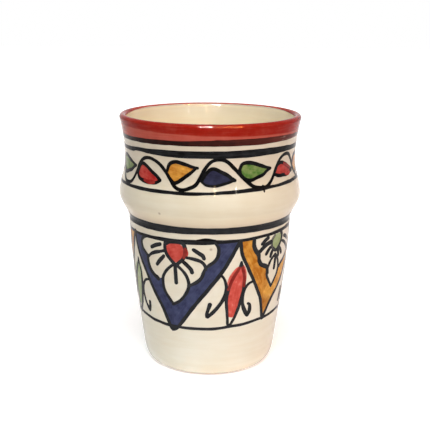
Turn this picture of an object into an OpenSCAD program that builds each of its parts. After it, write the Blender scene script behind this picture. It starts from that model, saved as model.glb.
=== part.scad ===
// Hand painted tea tumbler: a thrown clay cup with a collar below the rim, a white glaze
// over it, and ceramic colours laid on the glaze as thin strokes and fills.
// The front faces -Y. Angles round the cup run from the front towards +X.

/* [Cup] */
// Height from the table to the top of the lip
height = 105.4; // [101:0.1:114]
// Width across the rim
rim_d = 75; // [73:0.5:82]
// How far the neck draws in from the rim on each side
neck_in = 1.7; // [1:0.1:3]
// Drop from the top of the lip to the narrowest place of the neck
neck_drop = 18.4; // [16.5:0.1:21]
// How far the collar stands out past the rim on each side
collar_out = 0.55; // [-0.5:0.05:2.5]
// Drop from the top of the lip to the widest place of the collar
collar_drop = 32.2; // [30.5:0.1:34]
// How far the waist draws in from the collar on each side
waist_in = 3.85; // [2.5:0.05:5]
// Drop from the top of the lip to the corner where the collar meets the straight wall
waist_drop = 42; // [40:0.1:44.5]
// How far the straight wall draws in from the waist down to the table on each side
base_in = 6.6; // [4:0.1:9]
// How far the rounded heel draws in at the table on each side
foot_in = 2.1; // [1:0.1:4]
// Height of the rounded heel
heel_h = 5.6; // [3:0.1:9]
// Thickness of the glazed wall, which is also the width of the lip
wall = 2.9; // [2:0.1:4]

/* [Floor] */
// Height of the glazed floor above the table
floor_z = 6.2; // [5:0.1:10]
// Reach of the round corner between the floor and the wall
floor_round = 10; // [4:0.5:15]
// Width of the turned foot ring round the hollow under the foot
foot_ring_w = 5; // [3:0.5:10]
// Depth of the hollow under the foot
foot_hollow_h = 1.2; // [0.5:0.1:2]

/* [Glaze and paint] */
// Thickness of the white glaze
glaze = 0.35; // [0.2:0.05:0.6]
// Height above the table where the glaze ends
glaze_line = 0.8; // [0.4:0.1:2]
// Thickness of the colours on the glaze
paint = 0.15; // [0.08:0.01:0.25]
// Width of a drawn black line
line_w = 1.1; // [0.7:0.05:1.4]

/* [Rings] */
// Depth of the red band from the top of the lip
rim_band_h = 6.7; // [4:0.1:8]
// Height of the brown line under the red band
rim_line_h = 1.4; // [0.8:0.1:2]
// Drop from the top of the lip to the black ring over the frieze
frieze_top_drop = 10.4; // [10.1:0.1:12]
// Height of the black ring over the frieze
frieze_top_h = 2.2; // [1.2:0.1:3]
// Rise from the widest place of the collar to the black ring under the frieze
frieze_foot_rise = 5.6; // [4:0.1:7]
// Height of the black ring under the frieze
frieze_foot_h = 1.1; // [0.7:0.1:2]
// Rise from the waist corner to the top of the shoulder ring
shoulder_rise = 2.1; // [0.5:0.1:3]
// Height of the shoulder ring
shoulder_h = 2.1; // [1:0.1:3]
// Drop from the waist corner to the top of the ring over the panel
panel_top_drop = 3.2; // [2.5:0.1:6]
// Height of the ring over the panel
panel_top_h = 1.4; // [0.8:0.1:2]
// Height above the table of the ring under the panel
panel_foot_z = 21.9; // [16:0.1:26]
// Height of the ring under the panel
panel_foot_h = 1.1; // [0.7:0.1:1.8]

/* [Hidden] */
$fn = 120;

red = "#b5342a";
brown = "#43261f";
black = "#282620";
green = "#6e964b";
ochre = "#d28c2d";
blue = "#46475c";

// Widths and heights of the neck, the collar, the waist and the foot
neck_d = rim_d - 2 * neck_in;
neck_z = height - neck_drop;
collar_d = rim_d + 2 * collar_out;
collar_z = height - collar_drop;
waist_d = collar_d - 2 * waist_in;
waist_z = height - waist_drop;
base_d = waist_d - 2 * base_in;
foot_d = base_d - 2 * foot_in;
foot_hollow_d = foot_d - 2 * foot_ring_w;
// The lip is a half round as wide as the wall
lip_r = wall / 2;
lip_z = height - lip_r;
// Shapes of the curves: how full the belly, the flare and the underside of the collar are
belly_share = 1.4;
flare_share = 2;
swell_share = 0.5;
// Steps in each stretch of the outline
heel_steps = 6;
belly_steps = 4;
swell_steps = 6;
neck_steps = 5;
flare_steps = 4;
lip_steps = 16;
band_steps = 12;
floor_steps = 8;
// Heights closer together than this share of the paint count as one
near_share = 0.1;
near = paint * near_share;

// Heights of the painted zones
frieze_top = height - frieze_top_drop - frieze_top_h;
frieze_foot = collar_z + frieze_foot_rise + frieze_foot_h;
frieze_h = frieze_top - frieze_foot;
panel_top = waist_z - panel_top_drop - panel_top_h;
panel_foot = panel_foot_z + panel_foot_h;
panel_h = panel_top - panel_foot;

// Leaves begin at these angles on the front, and are evenly spaced from the last one on
front_leaf_angles = [-76, -52, -27.5, -5, 18.5, 44, 68];
leaf_count = 16;
leaf_colours = [green, red, ochre, blue];
// Middle and highest reach of the vine, as shares of the frieze
vine_mid_share = 0.5;
vine_reach_share = 0.445;
// Points of the vine over one leaf, and past each end of its place
vine_steps = 8;
vine_extra = 3;

// Chevrons: angle of the middle, half width, how far the point leans, depth of the flower,
// colour of the bands and of the flower's centre
chevron_shares = [
    [-21.5, 41.75, -0.17, 1, blue, red],
    [55.5, 35.25, -0.3, 0.82, ochre, green],
    [125, 34.25, -0.1, 0.95, green, ochre],
    [193.5, 34.25, -0.22, 0.9, blue, red],
    [262.25, 34.5, -0.12, 0.95, ochre, green]
];
chevron_count = len(chevron_shares);
// Lances stand where two chevrons meet: their colours, from the front one on
lance_colours = [red, green, red, blue, green];
// Reach of a gap's drawing to each side, and how far a lance stands from the joint of two chevrons
gap_angle = 22;
lance_lean_angle = -2;
lance_angle = 6.5;

// Outer edges of a chevron, from its point up: share of its half width, share of the panel
chevron_left_shares = [[0.04, -0.06], [-0.05, 0.01], [-0.235, 0.21], [-0.42, 0.37], [-0.62, 0.54],
    [-0.88, 0.78], [-0.955, 1], [-0.965, 1.05]];
chevron_right_shares = [[0, -0.06], [0.1, 0.01], [0.2, 0.11], [0.39, 0.29], [0.6, 0.49],
    [0.8, 0.7], [0.955, 1], [0.965, 1.05]];
// Edges of the petals
lobe_top_left_shares = [[-0.6, 1.05], [-0.68, 0.99], [-0.75, 0.93], [-0.74, 0.86], [-0.67, 0.81],
    [-0.585, 0.765]];
lobe_low_left_shares = [[-0.6, 0.785], [-0.58, 0.7], [-0.52, 0.62], [-0.42, 0.57], [-0.3, 0.515]];
lobe_top_right_shares = [[0.57, 1.05], [0.64, 0.96], [0.675, 0.89], [0.66, 0.83], [0.6, 0.78],
    [0.5, 0.725]];
lobe_low_right_shares = [[0.515, 0.745], [0.47, 0.665], [0.45, 0.61], [0.39, 0.56], [0.3, 0.525],
    [0.22, 0.5]];
split_left_shares = [[-0.565, 0.77], [-0.51, 0.805], [-0.42, 0.835], [-0.26, 0.87]];
split_right_shares = [[0.13, 0.83], [0.275, 0.815], [0.4, 0.79], [0.475, 0.74]];
drop_left_shares = [[0, 0.755], [-0.11, 0.7], [-0.185, 0.64], [-0.23, 0.57], [-0.225, 0.49],
    [-0.17, 0.4], [-0.08, 0.33], [-0.005, 0.265]];
drop_right_shares = [[-0.05, 0.765], [0.03, 0.725], [0.13, 0.675], [0.205, 0.61], [0.25, 0.53],
    [0.24, 0.46], [0.17, 0.37], [0.085, 0.31], [0.02, 0.28]];
// Outline of the flower's centre
disc_left_shares = [[-0.23, 1.05], [-0.245, 0.92], [-0.205, 0.85], [-0.12, 0.79], [-0.01, 0.74]];
disc_right_shares = [[0.1, 1.05], [0.145, 0.94], [0.145, 0.88], [0.11, 0.81], [-0.03, 0.75]];
// Veins of the petals
vein_shares = [
    [[-0.5, 0.885], [-0.41, 0.92], [-0.33, 0.94]],
    [[-0.37, 0.7], [-0.3, 0.76], [-0.24, 0.8]],
    [[-0.015, 0.69], [0.01, 0.62], [0.025, 0.53]],
    [[0.27, 0.92], [0.35, 0.885], [0.425, 0.855], [0.455, 0.825]],
    [[0.125, 0.765], [0.195, 0.74], [0.26, 0.7], [0.285, 0.665]]
];
// A lance: share of its half width, share of the panel
lance_left_shares = [[0.46, 0.77], [0.2, 0.69], [-0.4, 0.58], [-0.85, 0.45], [-0.95, 0.34],
    [-0.8, 0.18], [-0.6, 0.01]];
lance_right_shares = [[0.5, 0.78], [0.6, 0.71], [0.95, 0.61], [1, 0.475], [0.77, 0.34],
    [0.31, 0.18], [-0.46, 0.02]];
lance_fill_foot_share = 0.16;
// Curls: share of the gap's reach, share of the panel, from the chevron's edge to the hook
curl_left_shares = [[-0.36, 0.58], [-0.295, 0.49], [-0.34, 0.39], [-0.48, 0.3], [-0.7, 0.2],
    [-0.88, 0.14]];
curl_right_shares = [[0.455, 0.5], [0.32, 0.435], [0.275, 0.34], [0.32, 0.245], [0.43, 0.165],
    [0.51, 0.135]];
hook_left_shares = [[-0.88, 0.145], [-0.91, 0.19], [-0.88, 0.245], [-0.83, 0.29]];
hook_right_shares = [[0.5, 0.14], [0.575, 0.175], [0.585, 0.225], [0.55, 0.26], [0.48, 0.265]];
curl_start_shares = [0.645, 0.53];
// Leaves over a trough and under a crest of the vine: share of the leaf's place, of the frieze
high_leaf_top_shares = [[0.015, 0.57], [0.07, 0.77], [0.22, 0.84], [0.45, 0.78], [0.68, 0.68],
    [0.89, 0.62]];
high_leaf_low_shares = [[0.015, 0.57], [0.035, 0.46], [0.13, 0.33], [0.26, 0.27], [0.46, 0.35],
    [0.64, 0.46], [0.78, 0.56], [0.89, 0.62]];
low_leaf_top_shares = [[0.03, 0.3], [0.06, 0.52], [0.17, 0.66], [0.33, 0.64], [0.52, 0.52],
    [0.69, 0.41], [0.86, 0.31]];
low_leaf_low_shares = [[0.03, 0.3], [0.07, 0.22], [0.18, 0.16], [0.34, 0.14], [0.52, 0.145],
    [0.69, 0.19], [0.86, 0.31]];

// Widths of a stroke at its start, middle and end, as shares of the line
even_shares = [1, 1, 1];
full_shares = [0.75, 1.2, 0.9];
nib_shares = [1, 1.15, 0.7];
hook_shares = [1.1, 1.15, 0.8];

function blend(a, b, t) = a + (b - a) * t;
function ease(t) = (1 - cos(180 * t)) / 2;
function swell(t) = blend(ease(t), sin(90 * t), swell_share);
// How far a quarter round of reach h has drawn in at the height z above its start
function round_share(z, h) = z >= h ? 0 : 1 - sqrt(1 - pow(1 - z / h, 2));

// Radius of the glazed outside at the height z
function belly_r(z) = blend(waist_d, base_d, pow(1 - z / waist_z, belly_share)) / 2;
function wall_r(z) =
    z < waist_z ? belly_r(z) - (base_d - foot_d) / 2 * round_share(z, heel_h)
    : z < collar_z ? blend(waist_d, collar_d, swell((z - waist_z) / (collar_z - waist_z))) / 2
    : z < neck_z ? blend(collar_d, neck_d, ease((z - collar_z) / (neck_z - collar_z))) / 2
    : blend(neck_d, rim_d, pow((z - neck_z) / (lip_z - neck_z), flare_share)) / 2;

function span(a, b, n) = [for (i = [0 : n - 1]) blend(a, b, i / n)];
heel_zs = [for (i = [0 : heel_steps - 1]) heel_h * (1 - cos(90 * i / heel_steps))];
wall_zs = concat(heel_zs, span(heel_h, waist_z, belly_steps), span(waist_z, collar_z, swell_steps),
    span(collar_z, neck_z, neck_steps), span(neck_z, lip_z, flare_steps), [lip_z]);
skin = [for (z = wall_zs) [z, wall_r(z)]];
// Radius of the outside between the outline's own points, where it is straight
function skin_r(z) = lookup(z, skin);

// Heights from a to b with the outline's own heights between them
function stops(a, b) = concat([a], [for (z = wall_zs) if (z > a + near && z < b - near) z], [b]);
function side(a, b, out) = [for (z = stops(a, b)) [skin_r(z) + out, z]];
function reversed(list) = [for (i = [len(list) - 1 : -1 : 0]) list[i]];
function without_ends(list) = [for (i = [1 : len(list) - 2]) list[i]];
// The lip's half round grown by out, from its outer side inwards
function lip(out, last) = [for (i = [1 : last]) let (a = 180 * i / lip_steps)
    [rim_d / 2 - lip_r + (lip_r + out) * cos(a), lip_z + (lip_r + out) * sin(a)]];

// The inside from the lip down to the floor, grown by out into the wall
function inner_r(z, out) = wall_r(z) - wall + out
    - floor_round * round_share(z - floor_z + out, floor_round);
function inner_side(out) = concat(
    [for (z = reversed(wall_zs)) if (z < lip_z && z > floor_z + floor_round) [inner_r(z, out), z]],
    [for (i = [0 : floor_steps])
        let (z = floor_z - out + floor_round * (1 - sin(90 * i / floor_steps)))
        [inner_r(z, out), z]],
    [[0, floor_z - out]]
);

module clay_body() color("#d9b48f") rotate_extrude() polygon(concat(
    [[0, foot_hollow_h], [foot_hollow_d / 2, foot_hollow_h], [foot_hollow_d / 2 + foot_hollow_h, 0]],
    side(0, lip_z, -glaze), lip(-glaze, lip_steps), inner_side(glaze)
));

module white_glaze() color("#eedec0") rotate_extrude() polygon(concat(
    side(glaze_line, lip_z, 0), lip(0, lip_steps), inner_side(0),
    reversed(inner_side(glaze)), reversed(lip(-glaze, lip_steps)),
    reversed(side(glaze_line, lip_z, -glaze))
));

// A ring of paint on the wall from height a to height b
module ring(a, b) rotate_extrude() polygon(concat(side(a, b, paint), reversed(side(a, b, 0))));

module rim_band_red() color(red) rotate_extrude() polygon(concat(
    side(height - rim_band_h, lip_z, paint), lip(paint, band_steps),
    reversed(lip(0, band_steps)), reversed(side(height - rim_band_h, lip_z, 0))
));
module rim_line_brown() color(brown)
    ring(height - rim_band_h - rim_line_h, height - rim_band_h);
module frieze_top_ring() color(black) ring(frieze_top, frieze_top + frieze_top_h);
module frieze_foot_ring() color(black) ring(frieze_foot - frieze_foot_h, frieze_foot);
module shoulder_ring() color(black)
    ring(waist_z + shoulder_rise - shoulder_h, waist_z + shoulder_rise);
module panel_top_ring() color(black) ring(panel_top, panel_top + panel_top_h);
module panel_foot_ring() color(black) ring(panel_foot_z, panel_foot);

// A point of a drawing is [length along the wall from the drawing's middle, height]
function on_skin(angle, z) = [skin_r(z) * angle * PI / 180, z];
// The same point seen square on, where the wall turns away from the middle
function seen(p) = [skin_r(p[1]) * sin(p[0] / skin_r(p[1]) * 180 / PI), p[1]];

// A smooth line through the points, with steps between each two
curve_steps = 2;
function through(p, i, t) =
    let (a = p[max(i - 1, 0)], b = p[i], c = p[i + 1], d = p[min(i + 2, len(p) - 1)])
    b + t / 2 * ((c - a) + t * ((2 * a - 5 * b + 4 * c - d) + t * (3 * b - a - 3 * c + d)));
function curve(p) = concat(
    [for (i = [0 : len(p) - 2]) for (k = [0 : curve_steps - 1]) through(p, i, k / curve_steps)],
    [p[len(p) - 1]]
);

// A brush stroke along a line: its two sides and its two round ends
end_steps = 4;
function unit(v) = v / norm(v);
function left_of(v) = [-v[1], v[0]];
function heading(c, i) = unit(c[min(i + 1, len(c) - 1)] - c[max(i - 1, 0)]);
function half_width(t, w) = line_w / 2
    * (t < 0.5 ? blend(w[0], w[1], ease(2 * t)) : blend(w[1], w[2], ease(2 * t - 1)));
function rim_point(c, i, w, way) =
    c[i] + way * half_width(i / (len(c) - 1), w) * left_of(heading(c, i));
function end_round(c, i, w, way) = [for (k = [1 : end_steps - 1]) let (a = 180 * k / end_steps)
    c[i] + half_width(i / (len(c) - 1), w)
        * (way * cos(a) * left_of(heading(c, i)) + way * sin(a) * heading(c, i))];
function ribbon(c, w) = concat(
    [for (i = [0 : len(c) - 1]) rim_point(c, i, w, 1)],
    end_round(c, len(c) - 1, w, 1),
    [for (i = [len(c) - 1 : -1 : 0]) rim_point(c, i, w, -1)],
    end_round(c, 0, w, -1)
);
module stroke(points, widths = even_shares)
    polygon([for (p = ribbon(curve(points), widths)) seen(p)]);
module area(points) polygon([for (p = points) seen(p)]);
// The area between two lines that begin and end together
module between(one, other) area(concat(curve(one), reversed(without_ends(curve(other)))));

// Lays a flat drawing on the wall, between the angles a and b and the heights low and high
module laid(a, b, low, high) intersection() {
    rotate([0, 0, a - 90]) rotate_extrude(angle = b - a)
        polygon(concat(side(low, high, paint), reversed(side(low, high, 0))));
    rotate([0, 0, (a + b) / 2]) rotate([90, 0, 0]) linear_extrude(max(collar_d, rim_d)) children();
}

// Frieze
last_front = len(front_leaf_angles) - 1;
function leaf_start(i) = i <= last_front ? front_leaf_angles[i]
    : blend(front_leaf_angles[last_front], 360 + front_leaf_angles[0],
        (i - last_front) / (leaf_count - last_front));
function leaf_w(i) = leaf_start(i + 1) - leaf_start(i);
function in_frieze(i, p) = on_skin((p[0] - 0.5) * leaf_w(i), frieze_foot + p[1] * frieze_h);
function leaf_points(i, shares) = [for (p = shares) in_frieze(i, p)];
// The vine falls and rises once over two leaves, and is drawn past both ends of a leaf's place
function vine_share(i, t) = vine_mid_share - vine_reach_share * sin(180 * (t + i % 2));
module vine(i) stroke([for (k = [-vine_extra : vine_steps + vine_extra])
    in_frieze(i, [k / vine_steps, vine_share(i, k / vine_steps)])]);
module leaf_lines(i) {
    if (i % 2 == 0) {
        stroke(leaf_points(i, high_leaf_top_shares), nib_shares);
        stroke(leaf_points(i, high_leaf_low_shares), nib_shares);
    } else {
        stroke(leaf_points(i, low_leaf_top_shares), nib_shares);
        stroke(leaf_points(i, low_leaf_low_shares), nib_shares);
    }
}
module leaf_area(i)
    if (i % 2 == 0)
        between(leaf_points(i, high_leaf_top_shares), leaf_points(i, high_leaf_low_shares));
    else between(leaf_points(i, low_leaf_top_shares), leaf_points(i, low_leaf_low_shares));
module in_leaf_place(i) laid(leaf_start(i), leaf_start(i + 1), frieze_foot, frieze_top) children();
module leaves(colour) color(colour) for (i = [0 : leaf_count - 1])
    if (leaf_colours[i % len(leaf_colours)] == colour) in_leaf_place(i) difference() {
        leaf_area(i);
        leaf_lines(i);
        vine(i);
    }

module vine_line() color(black) for (i = [0 : leaf_count - 1]) in_leaf_place(i) vine(i);
module leaf_outlines() color(black) for (i = [0 : leaf_count - 1]) in_leaf_place(i) difference() {
    leaf_lines(i);
    vine(i);
}
module leaves_green() leaves(green);
module leaves_red() leaves(red);
module leaves_ochre() leaves(ochre);
module leaves_blue() leaves(blue);

// Panel
function chevron_mid(i) = chevron_shares[i][0];
function chevron_half(i) = chevron_shares[i][1];
function chevron_lean(i) = chevron_shares[i][2];
function chevron_turn(i, p) = chevron_half(i) * (p[0] + chevron_lean(i) * (1 - p[1]));
function in_chevron(i, p) = on_skin(chevron_turn(i, p), panel_foot + p[1] * panel_h);
function in_flower(i, p) = in_chevron(i, [p[0], 1 - chevron_shares[i][3] * (1 - p[1])]);
function chevron_points(i, shares) = [for (p = shares) in_chevron(i, p)];
function flower_points(i, shares) = [for (p = shares) in_flower(i, p)];
module chevron_lines(i) {
    stroke(chevron_points(i, chevron_left_shares));
    stroke(chevron_points(i, chevron_right_shares));
}
module petal_lines(i) {
    for (shares = [lobe_top_left_shares, lobe_low_left_shares, lobe_top_right_shares,
        lobe_low_right_shares, split_left_shares, split_right_shares, drop_left_shares,
        drop_right_shares, disc_left_shares, disc_right_shares])
        stroke(flower_points(i, shares), full_shares);
}
module vein_lines(i) for (shares = vein_shares) stroke(flower_points(i, shares), full_shares);
module disc_area(i) area(concat(curve(flower_points(i, disc_left_shares)),
    [for (p = reversed(curve(flower_points(i, disc_right_shares)))) if (p[1] > disc_foot_z(i)) p]));
function disc_foot_z(i) = in_flower(i, disc_left_shares[len(disc_left_shares) - 1])[1] + near;
module chevron_area(i) area(concat(
    [for (p = curve(chevron_points(i, chevron_left_shares))) if (p[1] > panel_foot) p],
    curve(flower_points(i, lobe_top_left_shares)),
    without_ends(curve(flower_points(i, lobe_low_left_shares))),
    [for (p = curve(flower_points(i, drop_left_shares))) if (p[1] < drop_side_z(i)) p],
    [for (p = reversed(curve(flower_points(i, drop_right_shares)))) if (p[1] < drop_side_z(i)) p],
    reversed(without_ends(curve(flower_points(i, lobe_low_right_shares)))),
    reversed(curve(flower_points(i, lobe_top_right_shares))),
    [for (p = reversed(curve(chevron_points(i, chevron_right_shares)))) if (p[1] > panel_foot) p]
));
// Height where the fill leaves the low petal for the lobes beside it
function drop_side_z(i) = in_flower(i, lobe_low_left_shares[len(lobe_low_left_shares) - 1])[1];
module in_chevron_place(i) laid(chevron_mid(i) - chevron_half(i),
    chevron_mid(i) + chevron_half(i), panel_foot, panel_top) children();
module chevrons(colour) color(colour) for (i = [0 : chevron_count - 1])
    if (chevron_shares[i][4] == colour) in_chevron_place(i) difference() {
        chevron_area(i);
        chevron_lines(i);
        petal_lines(i);
    }
module flower_centres(colour) color(colour) for (i = [0 : chevron_count - 1])
    if (chevron_shares[i][5] == colour) in_chevron_place(i) difference() {
        disc_area(i);
        petal_lines(i);
    }

module chevron_outlines() color(black) for (i = [0 : chevron_count - 1])
    in_chevron_place(i) chevron_lines(i);
module chevrons_blue() chevrons(blue);
module chevrons_ochre() chevrons(ochre);
module chevron_green() chevrons(green);
module petal_outlines() color(black) for (i = [0 : chevron_count - 1]) in_chevron_place(i)
    difference() {
        petal_lines(i);
        chevron_lines(i);
    }
module petal_veins() color(black) for (i = [0 : chevron_count - 1]) in_chevron_place(i)
    difference() {
        vein_lines(i);
        petal_lines(i);
    }
module flower_centres_red() flower_centres(red);
module flower_centres_green() flower_centres(green);
module flower_centre_ochre() flower_centres(ochre);

// Gaps between the chevrons. Gap i lies after chevron i
function gap_mid(i) = chevron_mid(i) + chevron_half(i) + lance_lean_angle;
function in_gap(p, reach) = on_skin(p[0] * reach, panel_foot + p[1] * panel_h);
function lance_points(shares) = [for (p = shares) in_gap(p, lance_angle)];
module lance_lines() {
    stroke(lance_points(lance_left_shares), full_shares);
    stroke(lance_points(lance_right_shares), full_shares);
}
module lance_area() area(concat(
    [for (p = curve(lance_points(lance_left_shares))) if (above_lance_foot(p)) p],
    [for (p = reversed(curve(lance_points(lance_right_shares)))) if (above_lance_foot(p)) p]
));
function above_lance_foot(p) = p[1] > panel_foot + lance_fill_foot_share * panel_h;
module in_gap_place(i) laid(gap_mid(i) - gap_angle, gap_mid(i) + gap_angle, panel_foot, panel_top)
    children();
module lances(colour) color(colour) for (i = [0 : chevron_count - 1])
    if (lance_colours[i] == colour) in_gap_place(i) difference() {
        lance_area();
        lance_lines();
    }

// Angle from the gap's middle to the edge of the chevron before it or after it
function edge_share(shares, z_share) = lookup(z_share, [for (p = shares) [p[1], p[0]]]);
function edge_before(i, z) = chevron_mid(i) - gap_mid(i)
    + chevron_turn(i, [edge_share(chevron_right_shares, z), z]);
function edge_after(i, z) = let (j = (i + 1) % chevron_count)
    chevron_mid(j) + (j < i ? 360 : 0) - gap_mid(i)
    + chevron_turn(j, [edge_share(chevron_left_shares, z), z]);
// A curl starts clear of the chevron's line by the paint's thickness
curl_gap = line_w + paint;
function beside(angle, z_share, way) =
    on_skin(angle, panel_foot + z_share * panel_h) + [way * curl_gap, 0];
module curl_lines(i) {
    stroke(concat([beside(edge_before(i, curl_start_shares[0]), curl_start_shares[0], 1)],
        [for (p = curl_left_shares) in_gap(p, gap_angle)]));
    stroke(concat([beside(edge_after(i, curl_start_shares[1]), curl_start_shares[1], -1)],
        [for (p = curl_right_shares) in_gap(p, gap_angle)]));
    stroke([for (p = hook_left_shares) in_gap(p, gap_angle)], hook_shares);
    stroke([for (p = hook_right_shares) in_gap(p, gap_angle)], hook_shares);
}

module lance_outlines() color(black) for (i = [0 : chevron_count - 1])
    in_gap_place(i) lance_lines();
module lances_red() lances(red);
module lances_green() lances(green);
module lance_blue() lances(blue);
module curls() color(black) for (i = [0 : chevron_count - 1]) in_gap_place(i) difference() {
    curl_lines(i);
    lance_lines();
    lance_area();
}

clay_body();
white_glaze();
rim_band_red();
rim_line_brown();
frieze_top_ring();
frieze_foot_ring();
shoulder_ring();
panel_top_ring();
panel_foot_ring();
vine_line();
leaf_outlines();
leaves_green();
leaves_red();
leaves_ochre();
leaves_blue();
chevron_outlines();
chevrons_blue();
chevrons_ochre();
chevron_green();
petal_outlines();
petal_veins();
flower_centres_red();
flower_centres_green();
flower_centre_ochre();
lance_outlines();
lances_red();
lances_green();
lance_blue();
curls();
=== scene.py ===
"""Hand painted tea tumbler: the thrown cup, its glaze and its brushwork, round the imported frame.

Angles are degrees round the cup from its front, which faces -Y, towards +X.
Heights, widths and depths are millimetres, and MM turns them into Blender's metres.
"""
import math

import bpy
from bpy.props import FloatProperty, FloatVectorProperty, PointerProperty
from mathutils import Matrix, Vector, noise
from mathutils.geometry import delaunay_2d_cdt


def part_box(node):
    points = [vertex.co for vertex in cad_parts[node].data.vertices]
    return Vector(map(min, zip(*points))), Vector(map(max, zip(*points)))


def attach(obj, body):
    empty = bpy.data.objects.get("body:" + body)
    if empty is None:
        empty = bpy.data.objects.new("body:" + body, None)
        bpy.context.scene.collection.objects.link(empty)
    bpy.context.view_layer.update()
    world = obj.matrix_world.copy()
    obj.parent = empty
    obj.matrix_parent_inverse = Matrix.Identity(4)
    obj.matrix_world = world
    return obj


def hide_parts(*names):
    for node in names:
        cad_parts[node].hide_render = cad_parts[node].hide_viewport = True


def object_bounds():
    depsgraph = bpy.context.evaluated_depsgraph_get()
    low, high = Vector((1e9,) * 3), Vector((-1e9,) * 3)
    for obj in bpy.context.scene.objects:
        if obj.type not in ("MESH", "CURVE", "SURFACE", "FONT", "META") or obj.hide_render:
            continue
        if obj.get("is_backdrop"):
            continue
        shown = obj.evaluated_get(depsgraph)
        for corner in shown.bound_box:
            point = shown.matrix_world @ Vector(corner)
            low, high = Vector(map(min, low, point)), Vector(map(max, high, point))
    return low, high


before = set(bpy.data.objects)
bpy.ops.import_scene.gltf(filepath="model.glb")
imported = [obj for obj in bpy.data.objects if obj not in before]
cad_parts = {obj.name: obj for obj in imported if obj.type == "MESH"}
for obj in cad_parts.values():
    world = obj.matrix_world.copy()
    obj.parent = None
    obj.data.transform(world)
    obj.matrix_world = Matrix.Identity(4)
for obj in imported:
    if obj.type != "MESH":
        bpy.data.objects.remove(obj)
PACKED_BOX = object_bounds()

bl_info = {
    "name": "Painted tea tumbler",
    "version": (1, 0, 0),
    "blender": (4, 5, 0),
    "location": "3D View > Sidebar > Tumbler",
    "description": "Throws, glazes and paints a tea tumbler round its packed frame",
    "category": "Add Mesh",
}

MM = 0.001


def foot_of(name):
    """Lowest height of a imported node."""
    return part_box(name)[0].z / MM


def top_of(name):
    """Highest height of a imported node."""
    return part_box(name)[1].z / MM


def per_metre(size):
    """Scale of a pattern whose features are that many millimetres across."""
    return 1 / (size * MM)


def linear(hex_colour):
    """Turns an sRGB hex colour into the linear values that the shaders use."""
    shares = [int(hex_colour[i:i + 2], 16) / 255 for i in (1, 3, 5)]
    return [s / 12.92 if s <= 0.04045 else ((s + 0.055) / 1.055) ** 2.4 for s in shares]


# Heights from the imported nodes
LIP_TOP = top_of("white_glaze")
GLAZE_FOOT = foot_of("white_glaze")
FRIEZE_TOP = foot_of("frieze_top_ring")
FRIEZE_FOOT = top_of("frieze_foot_ring")
WAIST = foot_of("shoulder_ring")


def size_property(name, description, default_mm):
    """A length in the sidebar, given in millimetres."""
    return FloatProperty(name=name, description=description, default=default_mm * MM,
                         min=0, unit="LENGTH", precision=5)


def angle_property(name, description, default_degrees):
    """An angle in the sidebar, given in degrees."""
    return FloatProperty(name=name, description=description,
                         default=math.radians(default_degrees), subtype="ANGLE")


def colour_property(name, description, hex_colour):
    """A colour in the sidebar, given in sRGB."""
    return FloatVectorProperty(name=name, description=description, default=linear(hex_colour),
                               size=3, min=0, max=1, subtype="COLOR")


class TumblerCup(bpy.types.PropertyGroup):
    """Sizes of the thrown and glazed cup"""
    height: size_property("Height", "Table to the top of the lip", LIP_TOP)
    rim_width: size_property("Rim width", "Width across the rim", 75)
    neck_in: size_property("Neck in", "How far the neck draws in from the rim", 2.05)
    neck_drop: size_property("Neck drop", "Lip to the narrowest place of the neck", 18.4)
    collar_out: size_property("Collar out", "How far the collar stands past the rim", 0.55)
    collar_drop: size_property("Collar drop", "Lip to the widest place of the collar", 32.2)
    waist_in: size_property("Waist in", "How far the waist draws in from the collar", 3.85)
    waist_height: size_property("Waist height", "Corner between the collar and the wall", WAIST)
    base_in: size_property("Base in", "How far the wall draws in below the waist", 6.6)
    foot_in: size_property("Foot in", "How far the rounded heel draws in", 2.1)
    heel_height: size_property("Heel height", "Height of the rounded heel", 5.6)
    wall: size_property("Wall", "Thickness of the glazed wall and the lip", 2.9)
    floor_height: size_property("Floor height", "Height of the glazed floor", 6.2)
    floor_round: size_property("Floor round", "Reach of the corner round the floor", 10)
    foot_ring: size_property("Foot ring", "Width of the ring it stands on", 5)
    foot_hollow: size_property("Foot hollow", "Depth of the hollow under the foot", 1.2)
    glaze: size_property("Glaze", "Thickness of the white glaze", 0.35)
    throwing: size_property("Throwing marks", "Depth of the rings left by the fingers", 0.05)


class TumblerBrush(bpy.types.PropertyGroup):
    """Sizes of the brushwork"""
    line: size_property("Line", "Width of a drawn line", 1.45)
    fill_lift: size_property("Fill height", "Height of a colour fill over the glaze", 0.03)
    line_lift: size_property("Line height", "Height of a drawn line over the glaze", 0.06)
    depth: size_property("Depth", "How deep the colours sink into the glaze", 0.1)
    tremble: size_property("Tremble", "How far the hand strays from its line", 0.07)
    step: size_property("Mesh step", "Length of the mesh's steps along a stroke", 0.4)


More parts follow.
